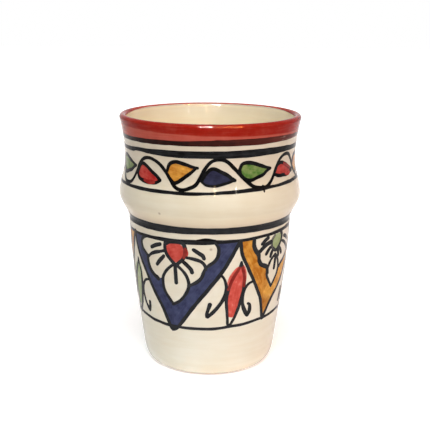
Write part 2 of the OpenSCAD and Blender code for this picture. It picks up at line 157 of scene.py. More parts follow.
class TumblerColours(bpy.types.PropertyGroup):
    """Colours of the glaze and the brushwork"""
    glaze: colour_property("Glaze", "White glaze of the collar", "#e0dac4")
    # The neck's and the waist's colours are painted shade: the neck lies under the lip and the
    # waist's corner under the collar
    neck_painted_shade: colour_property("Neck glaze", "White glaze of the neck", "#d4ccb9")
    waist_painted_shade: colour_property("Waist glaze", "White glaze in the waist's corner", "#cabeaa")
    glaze_wall: colour_property("Wall glaze", "White glaze of the wall", "#e2decc")
    glaze_foot: colour_property("Foot glaze", "White glaze near the foot", "#e7e8da")
    # The inside's colour is creamier as painted warm light reflected round the inside
    inside_painted_warmth: colour_property("Inside glaze", "White glaze of the inside", "#f6edcf")
    glaze_thin: colour_property("Thin glaze", "Tint where the clay warms thin glaze", "#f3ecdf")
    speck: colour_property("Speck", "Iron specks in the glaze", "#7a5a38")
    clay: colour_property("Clay", "Unglazed clay of the foot", "#d2ab84")
    clay_grit: colour_property("Clay grit", "Darker grit of the unglazed clay", "#b98a63")
    red: colour_property("Red", "Red of the fills", "#a2211d")
    red_thin: colour_property("Thin red", "Red where it is watery", "#cf5c50")
    red_bleed: colour_property("Red over black", "Red where it ran over a line", "#431013")
    band: colour_property("Rim red", "Red of the rim band", "#941807")
    band_thin: colour_property("Thin rim red", "Lower edge of the rim band", "#b95a4b")
    black: colour_property("Black", "Black of the lines", "#050505")
    black_thin: colour_property("Thin black", "Black where the brush runs dry", "#3b3e42")
    brown: colour_property("Brown", "Line under the rim band", "#1e0a06")
    brown_thin: colour_property("Thin brown", "The same where it is watery", "#5a241c")
    green: colour_property("Green", "Green of the leaves", "#3c6c26")
    green_thin: colour_property("Thin green", "Green where it is watery", "#8e9c5e")
    pale_green: colour_property("Pale green", "Green of the flowers and lances", "#7e9450")
    pale_green_thin: colour_property("Thin pale green", "The same where it is watery", "#aab890")
    ochre: colour_property("Ochre", "Ochre of the chevrons and leaves", "#ae6a20")
    ochre_thin: colour_property("Thin ochre", "Ochre where it is watery", "#e0aa4a")
    ochre_bleed: colour_property("Brown ochre", "Ochre where it fired browner", "#8c4e1e")
    blue: colour_property("Blue", "Blue of the chevrons", "#2c314e")
    blue_thin: colour_property("Thin blue", "Blue where it is watery", "#4b5275")
    ink_blue: colour_property("Ink blue", "Blue of the leaves", "#0c0c20")
    ink_blue_thin: colour_property("Thin ink blue", "The same where it is watery", "#30324e")


class TumblerStage(bpy.types.PropertyGroup):
    """Camera and floor"""
    distance: size_property("Camera distance", "From the cup's axis to the camera", 315.8)
    camera_height: size_property("Camera height", "Above the table", 145)
    pitch: angle_property("Pitch", "How far the camera looks down", 14.79)
    yaw: angle_property("Yaw", "How far the camera looks past the cup", 0.41)
    roll: angle_property("Roll", "How far the camera is tilted", 0.5)
    lens: FloatProperty(name="Lens", description="Focal length on a 36 mm sensor", default=64.05,
                        unit="CAMERA")
    floor_width: size_property("Floor width", "Width of the pale floor", 6000)


# Power of the wall's curve below the waist, where 1 would be a straight cone
BELLY = 1.4
# The finger rings and the wander of the wheel, in turns of noise per radian and per mm of height
FINGER_RINGS = (0.4, 0.32)
WHEEL_WANDER = (0.9, 0.03)
# Rows of the outline: their spacing in mm on the wall and under the collar, how many there are
# in the heel, the lip and the corner round the floor, and the least gap over the first one
WALL_ROW = 0.8
COLLAR_ROW = 0.5
HEEL_ROWS = 12
LIP_ROWS = 16
CORNER_ROWS = 16
CLOSEST_ROWS = 0.02
# The flat floor's rows, as shares of its radius
FLOOR_ROWS = (0.75, 0.5, 0.25, 0.03)
# The hollow under the foot: its innermost point, and where its side turns, as a share of its
# depth outwards and a height
HOLLOW_MIDDLE = 0.5
HOLLOW_FLARE = 0.6
HOLLOW_EDGE = 0.25
# Points round the cup
SEGMENTS = 360

# Heights at which the glaze has each of its colours, the waist's and the neck's being painted
# shade
GLAZE_STOPS = [(9, "glaze_foot"), (50, "glaze_wall"), (61.5, "glaze_wall"), (64.5, "waist_painted_shade"),
               (66.5, "waist_painted_shade"), (70, "glaze"), (79, "glaze"), (84, "neck_painted_shade")]
# Iron specks that show on the front: angle and height
SPECKS = [(-31, 70.5), (1, 56.7)]

# Ceramic colours: material slot, material name, colour, how strong their streaks and their
# pools are, whether a second colour lies where they bled, and the gloss and ripple over them
PAINTS = {
    "rim red": ("red_band_paint", "iron_red_rim_colour", "band", 0.7, 0.5, False, 0.045, 0.08),
    "brown": ("brown_paint", "manganese_brown_colour", "brown", 0.9, 0.5),
    "black": ("black_paint", "iron_black_colour", "black", 1, 0.5, False, 0.035),
    "red": ("red_paint", "iron_red_colour", "red", 0.7, 1.6, True),
    "ochre": ("ochre_paint", "antimony_ochre_colour", "ochre", 0.9, 2.2, True),
    "green": ("green_paint", "copper_green_colour", "green", 0.6, 2.4),
    "pale green": ("green_paint", "pale_copper_green_colour", "pale_green", 0.6, 1.8),
    "blue": ("blue_paint", "cobalt_blue_colour", "blue", 0.7, 1.6),
    "ink blue": ("blue_paint", "deep_cobalt_colour", "ink_blue", 0.6, 1.6),
}

# The painting leans up to the right and dips at both sides by so many mm, and its heights
# spread from one of them by a share
LEAN = 0.23
DIP = 0.5
SPREAD = 0.005
SPREAD_FROM = 60

# Widths of a stroke at its start, middle and end, as shares of the line
EVEN = (0.85, 0.95, 0.85)
FULL = (0.75, 1.05, 0.9)
THIN = (0.8, 0.95, 0.75)
HEAVY = (1.2, 1.4, 1.2)

# Each sheet of colour lies a hair over the one before it, in turns of so many. A spill lies
# over the lines, and some lines over others
SHEET_LIFT = 0.003
SHEETS = 8
SPILL_LIFT = 0.03
CROSS_LIFT = 0.02
# A stroke's mesh: rows in a round end, points across as shares of its half width, and the
# least share of its width squared at its tip
END_ROWS = 4
ACROSS = (-1, -0.55, 0, 0.55, 1)
TIP = 0.02
# How much a stroke's width varies, as a share, and how often that and the stray of its middle
# change, in turns of noise per mm
UNEVEN = 0.14
UNEVEN_RATE = 0.45
STRAY_RATE = 0.3
# A fill's mesh: its grid in mm, how near its edge a grid point may lie, the shortest edge that is
# kept, and how near two points may lie
FILL_GRID = 0.9
FILL_GAP = FILL_GRID * 0.45
SHORTEST = 0.02
MERGED = 1e-4
# The step along the outline of a fill, and of a flower's centre
OUTLINE_STEP = 0.6
DISC_STEP = 0.5
# A band's mesh: degrees round the cup, and the radius that its brush marks are measured on. Its
# edges' raggedness changes so many times in a radian
BAND_STEP = 0.75
MARKS_RADIUS = 36
RAGGED_RATE = 9


class Cup:
    """The cup's surfaces in millimetres, from the sizes in the sidebar."""

    def __init__(self, sizes):
        for name in sizes.__annotations__:
            setattr(self, name, getattr(sizes, name) / MM)
        self.lip_r = self.wall / 2
        self.lip_z = self.height - self.lip_r
        self.rim_r = self.rim_width / 2
        self.neck_r = self.rim_r - self.neck_in
        self.neck_z = self.height - self.neck_drop
        self.collar_r = self.rim_r + self.collar_out
        self.collar_z = self.height - self.collar_drop
        self.waist_r = self.collar_r - self.waist_in
        self.waist_z = self.waist_height
        self.base_r = self.waist_r - self.base_in
        self.foot_r = self.base_r - self.foot_in

    def radius(self, z):
        """Radius of the glazed outside before the throwing marks."""
        if z < self.waist_z:
            share = 1 - max(z, 0) / self.waist_z
            belly = blend(self.waist_r, self.base_r, share ** BELLY)
            return belly - self.foot_in * round_share(z, self.heel_height)
        if z < self.collar_z:
            t = (z - self.waist_z) / (self.collar_z - self.waist_z)
            return blend(self.waist_r, self.collar_r, (ease(t) + math.sin(math.pi / 2 * t)) / 2)
        if z < self.neck_z:
            t = (z - self.collar_z) / (self.neck_z - self.collar_z)
            return blend(self.collar_r, self.neck_r, ease(t))
        t = min(1, (z - self.neck_z) / (self.lip_z - self.neck_z))
        return blend(self.neck_r, self.rim_r, t * t)

    def marks(self, angle, z):
        """Rings left by the fingers and the wander of the wheel, always inwards."""
        side, front = heading(angle)
        rings, wander = [
            noise.noise(Vector((side * around + apart, front * around, z * up)))
            for (around, up), apart in ((FINGER_RINGS, 0), (WHEEL_WANDER, 7))]
        return self.throwing * (rings + wander - 2)

    def turned(self, entry, angle):
        """Point in metres of an entry of the outline, its radius and height, at an angle."""
        radius, z = entry
        radius += self.marks(angle, min(z, self.lip_z)) * radius / self.rim_r
        side, front = heading(angle)
        return Vector((radius * side, -radius * front, z)) * MM

    def skin(self, angle, z, out=0):
        """Point of the outside in metres, at an angle and a height, raised by out."""
        return self.turned((self.radius(z) + out, z), angle)

    def lip(self, share, out=0):
        """Radius and height on the lip's half round, from 0 outside to 1 inside."""
        side, front = heading(180 * share)
        reach = self.lip_r + out
        return self.rim_r - self.lip_r + reach * front, self.lip_z + reach * side

    def inside(self, z, out):
        """Radius of the inside, grown by out into the wall."""
        foot = self.floor_height - out
        corner = self.floor_round * round_share(z - foot, self.floor_round)
        return self.radius(z) - self.wall + out - corner

    def outline(self, start, out=0):
        """Radius and height of each row, from the outside at a height over the lip and down the
        inside to the middle of the floor, all moved off the wall by out."""
        heel = [self.heel_height * (1 - heading(90 * i / HEEL_ROWS)[1])
                for i in range(HEEL_ROWS + 1)]
        rest = (steps(self.heel_height, self.waist_z, WALL_ROW)
                + steps(self.waist_z, self.collar_z, COLLAR_ROW)
                + steps(self.collar_z, self.lip_z, WALL_ROW))
        above = sorted({round(z, 4) for z in heel + rest if z > start + CLOSEST_ROWS})
        rows = [(self.radius(z) + out, z) for z in [start, *above]]
        rows += [self.lip(i / LIP_ROWS, out) for i in range(1, LIP_ROWS)]

        floor = self.floor_height + out
        turns = [90 * i / CORNER_ROWS for i in range(1, CORNER_ROWS + 1)]
        corner = [floor + self.floor_round * (1 - heading(turn)[0]) for turn in turns]
        rows += [(self.inside(z, -out), z)
                 for z in steps(self.lip_z, floor + self.floor_round, WALL_ROW) + corner]
        return rows + [(rows[-1][0] * share, floor) for share in FLOOR_ROWS]


def heading(angle):
    """How far to the side and how far to the front an angle in degrees points."""
    turn = math.radians(angle)
    return math.sin(turn), math.cos(turn)


def blend(a, b, share):
    """The value that share of the way from a to b."""
    return a + (b - a) * share


def clamp(value):
    """The value, held between 0 and 1."""
    return min(1, max(0, value))


def ease(share):
    """A share from 0 to 1 that starts and ends gently."""
    return (1 - math.cos(math.pi * share)) / 2


def round_share(z, reach):
    """How far a quarter round has drawn in at the height z above its start."""
    if z >= reach:
        return 0
    return 1 - math.sqrt(max(0, 1 - (1 - z / reach) ** 2))


def steps(a, b, step):
    """Evenly spaced values from a to b, about a step apart."""
    count = max(1, round(abs(b - a) / step))
    return [blend(a, b, i / count) for i in range(count + 1)]


def at(value, p):
    """A value that may be a function of the point p."""
    return value(p) if callable(value) else value


def around(table, angle):
    """Value at an angle of a table of (angle, value) that goes once round the cup."""
    rows = sorted(table)
    angle = (angle - rows[0][0]) % 360 + rows[0][0]
    rows = rows + [(rows[0][0] + 360, rows[0][1])]
    for (a, low), (b, high) in zip(rows, rows[1:]):
        if angle <= b:
            return blend(low, high, ease((angle - a) / (b - a)))
    return rows[-1][1]


def node(tree, kind, settings=None, links=None):
    """Adds a node, sets its properties and inputs, and links its inputs."""
    new = tree.nodes.new(kind)
    for name, value in (settings or {}).items():
        if isinstance(name, int) or name in new.inputs:
            new.inputs[name].default_value = value
        else:
            setattr(new, name, value)
    for name, socket in (links or {}).items():
        tree.links.new(socket, new.inputs[name])
    return new


def new_material(name):
    """A material with its shader, ready for its own nodes."""
    material = bpy.data.materials.new(name)
    material.use_nodes = True
    tree = material.node_tree
    tree.nodes.clear()
    shader = node(tree, "ShaderNodeBsdfPrincipled")
    node(tree, "ShaderNodeOutputMaterial", links={"Surface": shader.outputs["BSDF"]})
    return material, tree, shader


def glaze_ripple(tree, strength):
    """Fired glaze pools into soft waves about 6 mm across, which bend its reflections."""
    place = node(tree, "ShaderNodeTexCoord")
    waves = node(tree, "ShaderNodeTexNoise",
                 {"Scale": per_metre(5.882), "Detail": 2, "Roughness": 0.4},
                 {"Vector": place.outputs["Object"]})
    return node(tree, "ShaderNodeBump", {"Strength": strength, "Distance": 0.05 * MM},
                {"Height": waves.outputs["Fac"]})


def glaze_material(colours, specks):
    """Tin white glaze, dipped and fired: glossy and opaque, warm where it is thin over the clay,
    with faint bands from the wheel and a few iron specks, some of them at given places. Painted
    shade darkens its waist's corner and its neck, and painted warm light makes its inside
    creamier."""
    material, tree, shader = new_material("tin_white_glaze")
    place = node(tree, "ShaderNodeTexCoord")
    here = {"Vector": place.outputs["Object"]}
    # It is thin in bands 2.4 mm high and 22 mm long, and in clouds 17 mm across
    banded = node(tree, "ShaderNodeMapping",
                  {"Scale": (per_metre(22.22), per_metre(22.22), per_metre(2.381))}, here)
    bands = node(tree, "ShaderNodeTexNoise", {"Scale": 1, "Detail": 4, "Roughness": 0.6},
                 {"Vector": banded.outputs["Vector"]})
    clouds = node(tree, "ShaderNodeTexNoise",
                  {"Scale": per_metre(16.667), "Detail": 3, "Roughness": 0.5}, here)
    both = node(tree, "ShaderNodeMath", {"operation": "ADD"},
                {0: bands.outputs["Fac"], 1: clouds.outputs["Fac"]})
    thin = node(tree, "ShaderNodeMapRange", {"From Min": 0.8, "From Max": 1.35, "To Max": 0.55},
                {"Value": both.outputs["Value"]})
    # The inside is given a creamier colour, painted warm light reflected round the inside of the
    # cup. Its skin is told by a normal that points back at the cup's axis
    outward = node(tree, "ShaderNodeVectorMath", {"operation": "DOT_PRODUCT"},
                   {0: place.outputs["Object"], 1: place.outputs["Normal"]})
    inside_tint = node(tree, "ShaderNodeMapRange", {"From Min": 10 * MM, "From Max": -20 * MM},
                  {"Value": outward.outputs["Value"]})
    # It is whiter towards the foot, and darker in the waist's corner under the collar and greyer
    # on the neck, which is painted shade
    level = node(tree, "ShaderNodeSeparateXYZ", {}, here)
    share = node(tree, "ShaderNodeMapRange", {"From Max": LIP_TOP * MM},
                 {"Value": level.outputs["Z"]})
    outer = node(tree, "ShaderNodeValToRGB", {}, {"Fac": share.outputs["Result"]})
    stops = outer.color_ramp.elements
    for z, name in GLAZE_STOPS:
        stops.new(z / LIP_TOP).color = (*getattr(colours, name), 1)
    # The ramp's own black and white stops go, once it has others
    stops.remove(stops[len(stops) - 1])
    stops.remove(stops[0])
    coat = node(tree, "ShaderNodeMix", {"data_type": "RGBA", 7: (*colours.inside_painted_warmth, 1)},
                {0: inside_tint.outputs["Result"], 6: outer.outputs["Color"]})
    white = node(tree, "ShaderNodeMix", {"data_type": "RGBA", "blend_type": "MULTIPLY",
                                         7: (*colours.glaze_thin, 1)},
                 {0: thin.outputs["Result"], 6: coat.outputs[2]})
    # Iron specks 0.3 to 0.6 mm wide, in one of five cells 12 mm across
    cells = node(tree, "ShaderNodeTexVoronoi", {"Scale": per_metre(11.765)}, here)
    speck = node(tree, "ShaderNodeMapRange", {"From Min": 0.028, "From Max": 0.012},
                 {"Value": cells.outputs["Distance"]})
    chosen = node(tree, "ShaderNodeSeparateColor", {}, {"Color": cells.outputs["Color"]})
    rare = node(tree, "ShaderNodeMath", {"operation": "GREATER_THAN", 1: 0.8},
                {0: chosen.outputs["Red"]})
    spot = node(tree, "ShaderNodeMath", {"operation": "MULTIPLY"},
                {0: speck.outputs["Result"], 1: rare.outputs["Value"]})
    faint = node(tree, "ShaderNodeMath", {"operation": "MULTIPLY", 1: 0.55},
                 {0: spot.outputs["Value"]})
    marked = faint.outputs["Value"]
    # Those at given places are 0.4 to 1.5 mm wide, from their core to their faint edge
    for speck_place in specks:
        reach = node(tree, "ShaderNodeVectorMath", {"operation": "DISTANCE", 1: speck_place},
                     {0: place.outputs["Object"]})
        dot = node(tree, "ShaderNodeMapRange", {"From Min": 0.75 * MM, "From Max": 0.2 * MM,
                                                "To Max": 0.5},
                   {"Value": reach.outputs["Value"]})
        marked = node(tree, "ShaderNodeMath", {"operation": "MAXIMUM"},
                      {0: marked, 1: dot.outputs["Result"]}).outputs["Value"]
    speckled = node(tree, "ShaderNodeMix", {"data_type": "RGBA", 7: (*colours.speck, 1)},
                    {0: marked, 6: white.outputs[2]})
    rough = node(tree, "ShaderNodeMapRange", {"To Min": 0.03, "To Max": 0.08},
                 {"Value": clouds.outputs["Fac"]})
    tree.links.new(speckled.outputs[2], shader.inputs["Base Color"])
    tree.links.new(rough.outputs["Result"], shader.inputs["Roughness"])
    tree.links.new(glaze_ripple(tree, 0.25).outputs["Normal"], shader.inputs["Normal"])
    shader.inputs["Specular IOR Level"].default_value = 0.16
    return material


def clay_material(colours):
    """Earthenware fired to biscuit and left bare: matt, pinkish buff, with grit about 0.5 mm
    across, clouds 11 mm across and the rings of the turning tool."""
    material, tree, shader = new_material("biscuit_earthenware")
    place = node(tree, "ShaderNodeTexCoord")
    here = {"Vector": place.outputs["Object"]}
    grit = node(tree, "ShaderNodeTexNoise",
                {"Scale": per_metre(0.5556), "Detail": 3, "Roughness": 0.7}, here)
    clouds = node(tree, "ShaderNodeTexNoise", {"Scale": per_metre(11.11), "Detail": 2}, here)
    both = node(tree, "ShaderNodeMath", {"operation": "ADD"},
                {0: grit.outputs["Fac"], 1: clouds.outputs["Fac"]})
    amount = node(tree, "ShaderNodeMapRange", {"From Min": 0.7, "From Max": 1.3},
                  {"Value": both.outputs["Value"]})
    colour = node(tree, "ShaderNodeMix", {"data_type": "RGBA", 6: (*colours.clay, 1),
                                          7: (*colours.clay_grit, 1)},
                  {0: amount.outputs["Result"]})
    rings = node(tree, "ShaderNodeTexWave", {"wave_type": "RINGS", "rings_direction": "Z",
                                             "Scale": per_metre(5.263), "Distortion": 1.5,
                                             "Detail": 2}, here)
    height = node(tree, "ShaderNodeMath", {"operation": "ADD"},
                  {0: rings.outputs["Fac"], 1: grit.outputs["Fac"]})
    bump = node(tree, "ShaderNodeBump", {"Strength": 0.5, "Distance": 0.08 * MM},
                {"Height": height.outputs["Value"]})
    tree.links.new(colour.outputs[2], shader.inputs["Base Color"])
    tree.links.new(bump.outputs["Normal"], shader.inputs["Normal"])
    shader.inputs["Roughness"].default_value = 0.85
    return material


def paint_material(colours, name, colour_name, streaks, pools, bleeds=False, gloss=0.05,
                   ripple=0.2):
    """Ceramic colour brushed on and fired into the glaze: the glaze's gloss over it, bristle
    streaks along the stroke, and watery pools about 3 mm across. Where much of it lies it has
    its full colour, where little lies its thin one, and where hardly any lies the glaze shows.
    One that bleeds has a second colour where over is high."""
    material, tree, shader = new_material(name)
    full, thin = getattr(colours, colour_name), getattr(colours, colour_name + "_thin")
    brush = node(tree, "ShaderNodeAttribute", {"attribute_name": "brush"})
    load = node(tree, "ShaderNodeAttribute", {"attribute_name": "load"})
    # Bristles leave streaks about 0.5 mm apart and 8 mm long. The brush's places are in mm
    along = node(tree, "ShaderNodeMapping", {"Scale": (1 / 8.333, 1 / 0.4762, 1 / 8.333)},
                 {"Vector": brush.outputs["Vector"]})
    bristle = node(tree, "ShaderNodeTexNoise", {"Scale": 1, "Detail": 3, "Roughness": 0.6},
                   {"Vector": along.outputs["Vector"]})
    water = node(tree, "ShaderNodeTexNoise", {"Scale": 1 / 3.03, "Detail": 3, "Roughness": 0.55},
                 {"Vector": brush.outputs["Vector"]})
    streaky = node(tree, "ShaderNodeMath", {"operation": "MULTIPLY_ADD", 1: streaks,
                                            2: -streaks / 2}, {0: bristle.outputs["Fac"]})
    pooled = node(tree, "ShaderNodeMath", {"operation": "MULTIPLY_ADD", 1: pools,
                                           2: -pools / 2}, {0: water.outputs["Fac"]})
    uneven = node(tree, "ShaderNodeMath", {"operation": "ADD"},
                  {0: streaky.outputs["Value"], 1: pooled.outputs["Value"]})
    amount = node(tree, "ShaderNodeMath", {"operation": "ADD"},
                  {0: uneven.outputs["Value"], 1: load.outputs["Fac"]})
    share = node(tree, "ShaderNodeMapRange", {}, {"Value": amount.outputs["Value"]})
    colour = node(tree, "ShaderNodeMix", {"data_type": "RGBA", 6: (*thin, 1), 7: (*full, 1)},
                  {0: share.outputs["Result"]})
    bare = node(tree, "ShaderNodeMapRange", {"From Max": -0.8},
                {"Value": amount.outputs["Value"]})
    last = node(tree, "ShaderNodeMix", {"data_type": "RGBA", 7: (*colours.glaze, 1)},
                {0: bare.outputs["Result"], 6: colour.outputs[2]})
    if bleeds:
        bled = getattr(colours, colour_name + "_bleed")
        over = node(tree, "ShaderNodeAttribute", {"attribute_name": "over"})
        last = node(tree, "ShaderNodeMix", {"data_type": "RGBA", 7: (*bled, 1)},
                    {0: over.outputs["Fac"], 6: last.outputs[2]})
    tree.links.new(last.outputs[2], shader.inputs["Base Color"])
    tree.links.new(glaze_ripple(tree, ripple).outputs["Normal"], shader.inputs["Normal"])
    shader.inputs["Roughness"].default_value = 0.05
    shader.inputs["Specular IOR Level"].default_value = gloss
    return material


class Layer:
    """Gathers the strokes and fills that become one piece of brushwork. It lies over the glaze
    as high as a fill or a line does, and so much more."""

    def __init__(self, context, kind, more=0):
        brush = context.scene.tumbler_brush
        self.colours = context.scene.tumbler_colours
        self.cup = Cup(context.scene.tumbler_cup)
        self.line = brush.line / MM
        self.depth = brush.depth / MM
        self.tremble = brush.tremble / MM
        self.step = brush.step / MM
        self.lifts = {"fill": brush.fill_lift / MM, "line": brush.line_lift / MM}
        self.lift = self.lifts[kind] + more
        self.points = []
        self.faces = []
        self.sharp = []
        self.brush = []
        self.load = []
        self.over = []
        self.count = 0

    def unrolled(self, point):
        """Flat place in mm of an angle and a height."""
        angle, z = point
        return Vector((math.radians(angle) * self.cup.radius(z), z))

    def rolled(self, flat):
        """Angle and height of a flat place."""
        return math.degrees(flat.x / self.cup.radius(flat.y)), flat.y

    def laid(self, angle, z, out):
        """Point in metres of a drawn angle and height. The whole painting leans a little up to
        the right and dips at both sides, because the cup stood off centre on the wheel."""
        side, _ = heading(angle)
        z += LEAN * side - DIP * side ** 2 + SPREAD * (z - SPREAD_FROM)
        return self.cup.skin(angle, z, out)

    def slab(self, flat, faces, brush, load, over, place=None):
        """Closes a sheet of unrolled points into a thin solid that is sunk in the glaze."""
        lift = self.lift + SHEET_LIFT * (self.count % SHEETS)
        place = place or (lambda p, out: self.laid(*self.rolled(p), out))
        start = len(self.points)
        count = len(flat)
        self.points += [place(p, lift) for p in flat] + [place(p, -self.depth) for p in flat]
        self.faces += [tuple(start + i for i in f) for f in faces]
        self.faces += [tuple(start + count + i for i in reversed(f)) for f in faces]
        # A side that only one face has is the sheet's border
        sides = {}
        for f in faces:
            for a, b in zip(f, f[1:] + f[:1]):
                if (b, a) in sides:
                    del sides[b, a]
                else:
                    sides[a, b] = True
        for a, b in sides:
            self.faces.append((start + b, start + a, start + count + a, start + count + b))
            self.sharp += [(start + a, start + b), (start + count + a, start + count + b)]
        self.brush += [*brush, *brush]
        self.load += [*load, *load]
        self.over += [*over, *over]
        self.count += 1

    def curve(self, points, step=None):
        """A smooth unrolled line through the points, as points about a step apart."""
        step = step or self.step
        flat = [self.unrolled(p) for p in points]
        flat = [2 * flat[0] - flat[1], *flat, 2 * flat[-1] - flat[-2]]
        line = []
        for a, b, c, d in zip(flat, flat[1:], flat[2:], flat[3:]):
            for t in steps(0, 1, step / max((c - b).length, step))[:-1]:
                line.append(b + t / 2 * ((c - a) + t * ((2 * a - 5 * b + 4 * c - d)
                                                        + t * (3 * b - a - 3 * c + d))))
        return line + [flat[-2]]

    def stroke(self, points, widths=EVEN, load=(1, 0.9), over=0):
        """One brush stroke: a ribbon with round ends, uneven width and a wandering middle.
        load is how much colour lies at its start and end, over how far it has bled."""
        line = self.curve(points)
        half = [self.line / 2 * w for w in widths]
        ahead = (line[-1] - line[-2]).normalized()
        behind = (line[0] - line[1]).normalized()
        line = [*[line[0] + behind * half[0] * (1 - i / END_ROWS) for i in range(END_ROWS)],
                *line,
                *[line[-1] + ahead * half[2] * (i + 1) / END_ROWS for i in range(END_ROWS)]]
        lengths = [0]
        for a, b in zip(line, line[1:]):
            lengths.append(lengths[-1] + (b - a).length)
        total = lengths[-1]
        seed = self.count * 3.7 + line[0].x
        flat, brush, loads = [], [], []
        for i, (p, along) in enumerate(zip(line, lengths)):
            way = (line[min(i + 1, len(line) - 1)] - line[max(i - 1, 0)]).normalized()
            left = Vector((-way.y, way.x))
            t = along / total
            width = (blend(half[0], half[1], ease(2 * t)) if t < 0.5
                     else blend(half[1], half[2], ease(2 * t - 1)))
            end = min(along, total - along)
            if end < width:
                width *= math.sqrt(max(TIP, 1 - (1 - end / width) ** 2))
            width *= 1 + UNEVEN * noise.noise(Vector((along * UNEVEN_RATE, seed, 0)))
            stray = self.tremble * noise.noise(Vector((along * STRAY_RATE, seed, 5)))
            for c in ACROSS:
                flat.append(p + left * (stray + c * width))
                brush.append((along, c * width, seed))
                loads.append(blend(load[0], load[1], t))
        n = len(ACROSS)
        faces = [(i * n + k + 1, i * n + k, (i + 1) * n + k, (i + 1) * n + k + 1)
                 for i in range(len(line) - 1) for k in range(n - 1)]
        self.slab(flat, faces, brush, loads, [over] * len(flat))

    def fill(self, outline, load, slant, over=0, edge=None):
        """Paints the area inside a closed outline of unrolled points, with brush marks that
        slant by that many degrees from level, and another load at its edge if one is given.
        load, slant and over may each be a number or a function of the unrolled point."""
        ring = []
        for a, b in zip(outline, outline[1:] + outline[:1]):
            if (b - a).length > SHORTEST:
                ring += [a.lerp(b, t) for t in steps(0, 1, FILL_GRID / (b - a).length)[:-1]]
        inner = []
        for x in steps(min(p.x for p in ring), max(p.x for p in ring), FILL_GRID):
            for y in steps(min(p.y for p in ring), max(p.y for p in ring), FILL_GRID):
                p = Vector((x, y))
                if inside_ring(p, ring) and min((p - q).length for q in ring) > FILL_GAP:
                    inner.append(p)
        edges = [(i, (i + 1) % len(ring)) for i in range(len(ring))]
        result = delaunay_2d_cdt(ring + inner, edges, [], 1, MERGED)
        flat = [Vector(p) for p in result[0]]
        faces = [tuple(f) for f in result[2]]
        seed = self.count * 5.3 + 2
        brush = [(*(Matrix.Rotation(math.radians(-at(slant, p)), 2) @ p), seed) for p in flat]
        loads = [at(load, p) if edge is None or i >= len(ring) else edge
                 for i, p in enumerate(flat)]
        self.slab(flat, faces, brush, loads, [at(over, p) for p in flat])

    def band(self, low, high, load, ragged=0.12, rows=6, place=None):
        """A ring pulled on the wheel between two heights, each a table round the cup. load gives
        how much colour lies at an angle and a height."""
        angles = steps(-180, 180, BAND_STEP)[:-1]
        seed = self.count * 2.9 + 11
        flat, brush, loads = [], [], []
        for angle in angles:
            side, front = heading(angle)
            foot, top = [
                around(table, angle) + ragged * noise.noise(
                    Vector((side * RAGGED_RATE, front * RAGGED_RATE, own_seed)))
                for table, own_seed in ((low, seed), (high, -seed))]
            for z in [blend(foot, top, k / rows) for k in range(rows + 1)]:
                flat.append((angle, z))
                brush.append((side * MARKS_RADIUS, z, front * MARKS_RADIUS + seed))
                loads.append(load(angle, z))
        n = rows + 1
        total = len(flat)
        faces = [(i * n + k, (i * n + n + k) % total, (i * n + n + k + 1) % total, i * n + k + 1)
                 for i in range(len(angles)) for k in range(rows)]
        place = place or (lambda p, out: self.laid(*p, out))
        self.slab(flat, faces, brush, loads, [0] * total, place)

    def piece(self, name, paint, node_name):
        """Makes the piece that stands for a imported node. Pieces in one paint share its
        material."""
        if not self.faces:
            raise RuntimeError(f"{name} has nothing painted")
        mesh = bpy.data.meshes.new(name)
        mesh.from_pydata(self.points, [], self.faces)
        mesh.validate()
        mesh.shade_smooth()
        wanted = {tuple(sorted(pair)) for pair in self.sharp}
        mesh.edges.foreach_set("use_edge_sharp",
                               [tuple(sorted(e.vertices)) in wanted for e in mesh.edges])
        brush = mesh.attributes.new("brush", "FLOAT_VECTOR", "POINT")
        brush.data.foreach_set("vector", [value for row in self.brush for value in row])
        for label, values in (("load", self.load), ("over", self.over)):
            mesh.attributes.new(label, "FLOAT", "POINT").data.foreach_set("value", values)
        slot, material_name, *settings = PAINTS[paint]
        material = (bpy.data.materials.get(material_name)
                    or paint_material(self.colours, material_name, *settings))
        finish_piece(name, mesh, material, slot, node_name)


def inside_ring(p, ring):
    """Whether a flat point lies inside a closed outline."""
    inside = False
    for a, b in zip(ring, ring[1:] + ring[:1]):
        if (a.y > p.y) != (b.y > p.y) and p.x < a.x + (b.x - a.x) * (p.y - a.y) / (b.y - a.y):
            inside = not inside
    return inside


def finish_piece(name, mesh, material, slot, node_name):
    """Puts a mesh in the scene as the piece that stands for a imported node."""
    piece = bpy.data.objects.new(name, mesh)
    bpy.context.scene.collection.objects.link(piece)
    mesh.materials.append(material)
    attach(piece, "root")
    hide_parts(node_name)


def lathe(name, profile, cup, material, slot, node_name):
    """Turns a profile of radii and heights into a round solid, closed at both ends."""
    angles = [360 * i / SEGMENTS for i in range(SEGMENTS)]
    points = [cup.turned(entry, angle) for entry in profile for angle in angles]
    top = (len(profile) - 1) * SEGMENTS
    faces = [(row + i, row + (i + 1) % SEGMENTS, row + SEGMENTS + (i + 1) % SEGMENTS,
              row + SEGMENTS + i) for row in range(0, top, SEGMENTS) for i in range(SEGMENTS)]
    faces.append(tuple(reversed(range(SEGMENTS))))
    faces.append(tuple(range(top, top + SEGMENTS)))
    mesh = bpy.data.meshes.new(name)
    mesh.from_pydata(points, [], faces)
    mesh.shade_smooth()
    finish_piece(name, mesh, material, slot, node_name)


# Rings round the cup: (angle, height) of their lower and upper edges
BAND_LOW = [(-180, 98.1), (-70, 98.1), (0, 98.2), (45, 98.5), (110, 98.4)]
SALMON_EDGE = [(-180, 101), (-70, 101.8), (-45, 101.6), (-20, 101.2), (0, 100.9), (25, 100.5),
               (60, 100.2), (110, 100.4)]
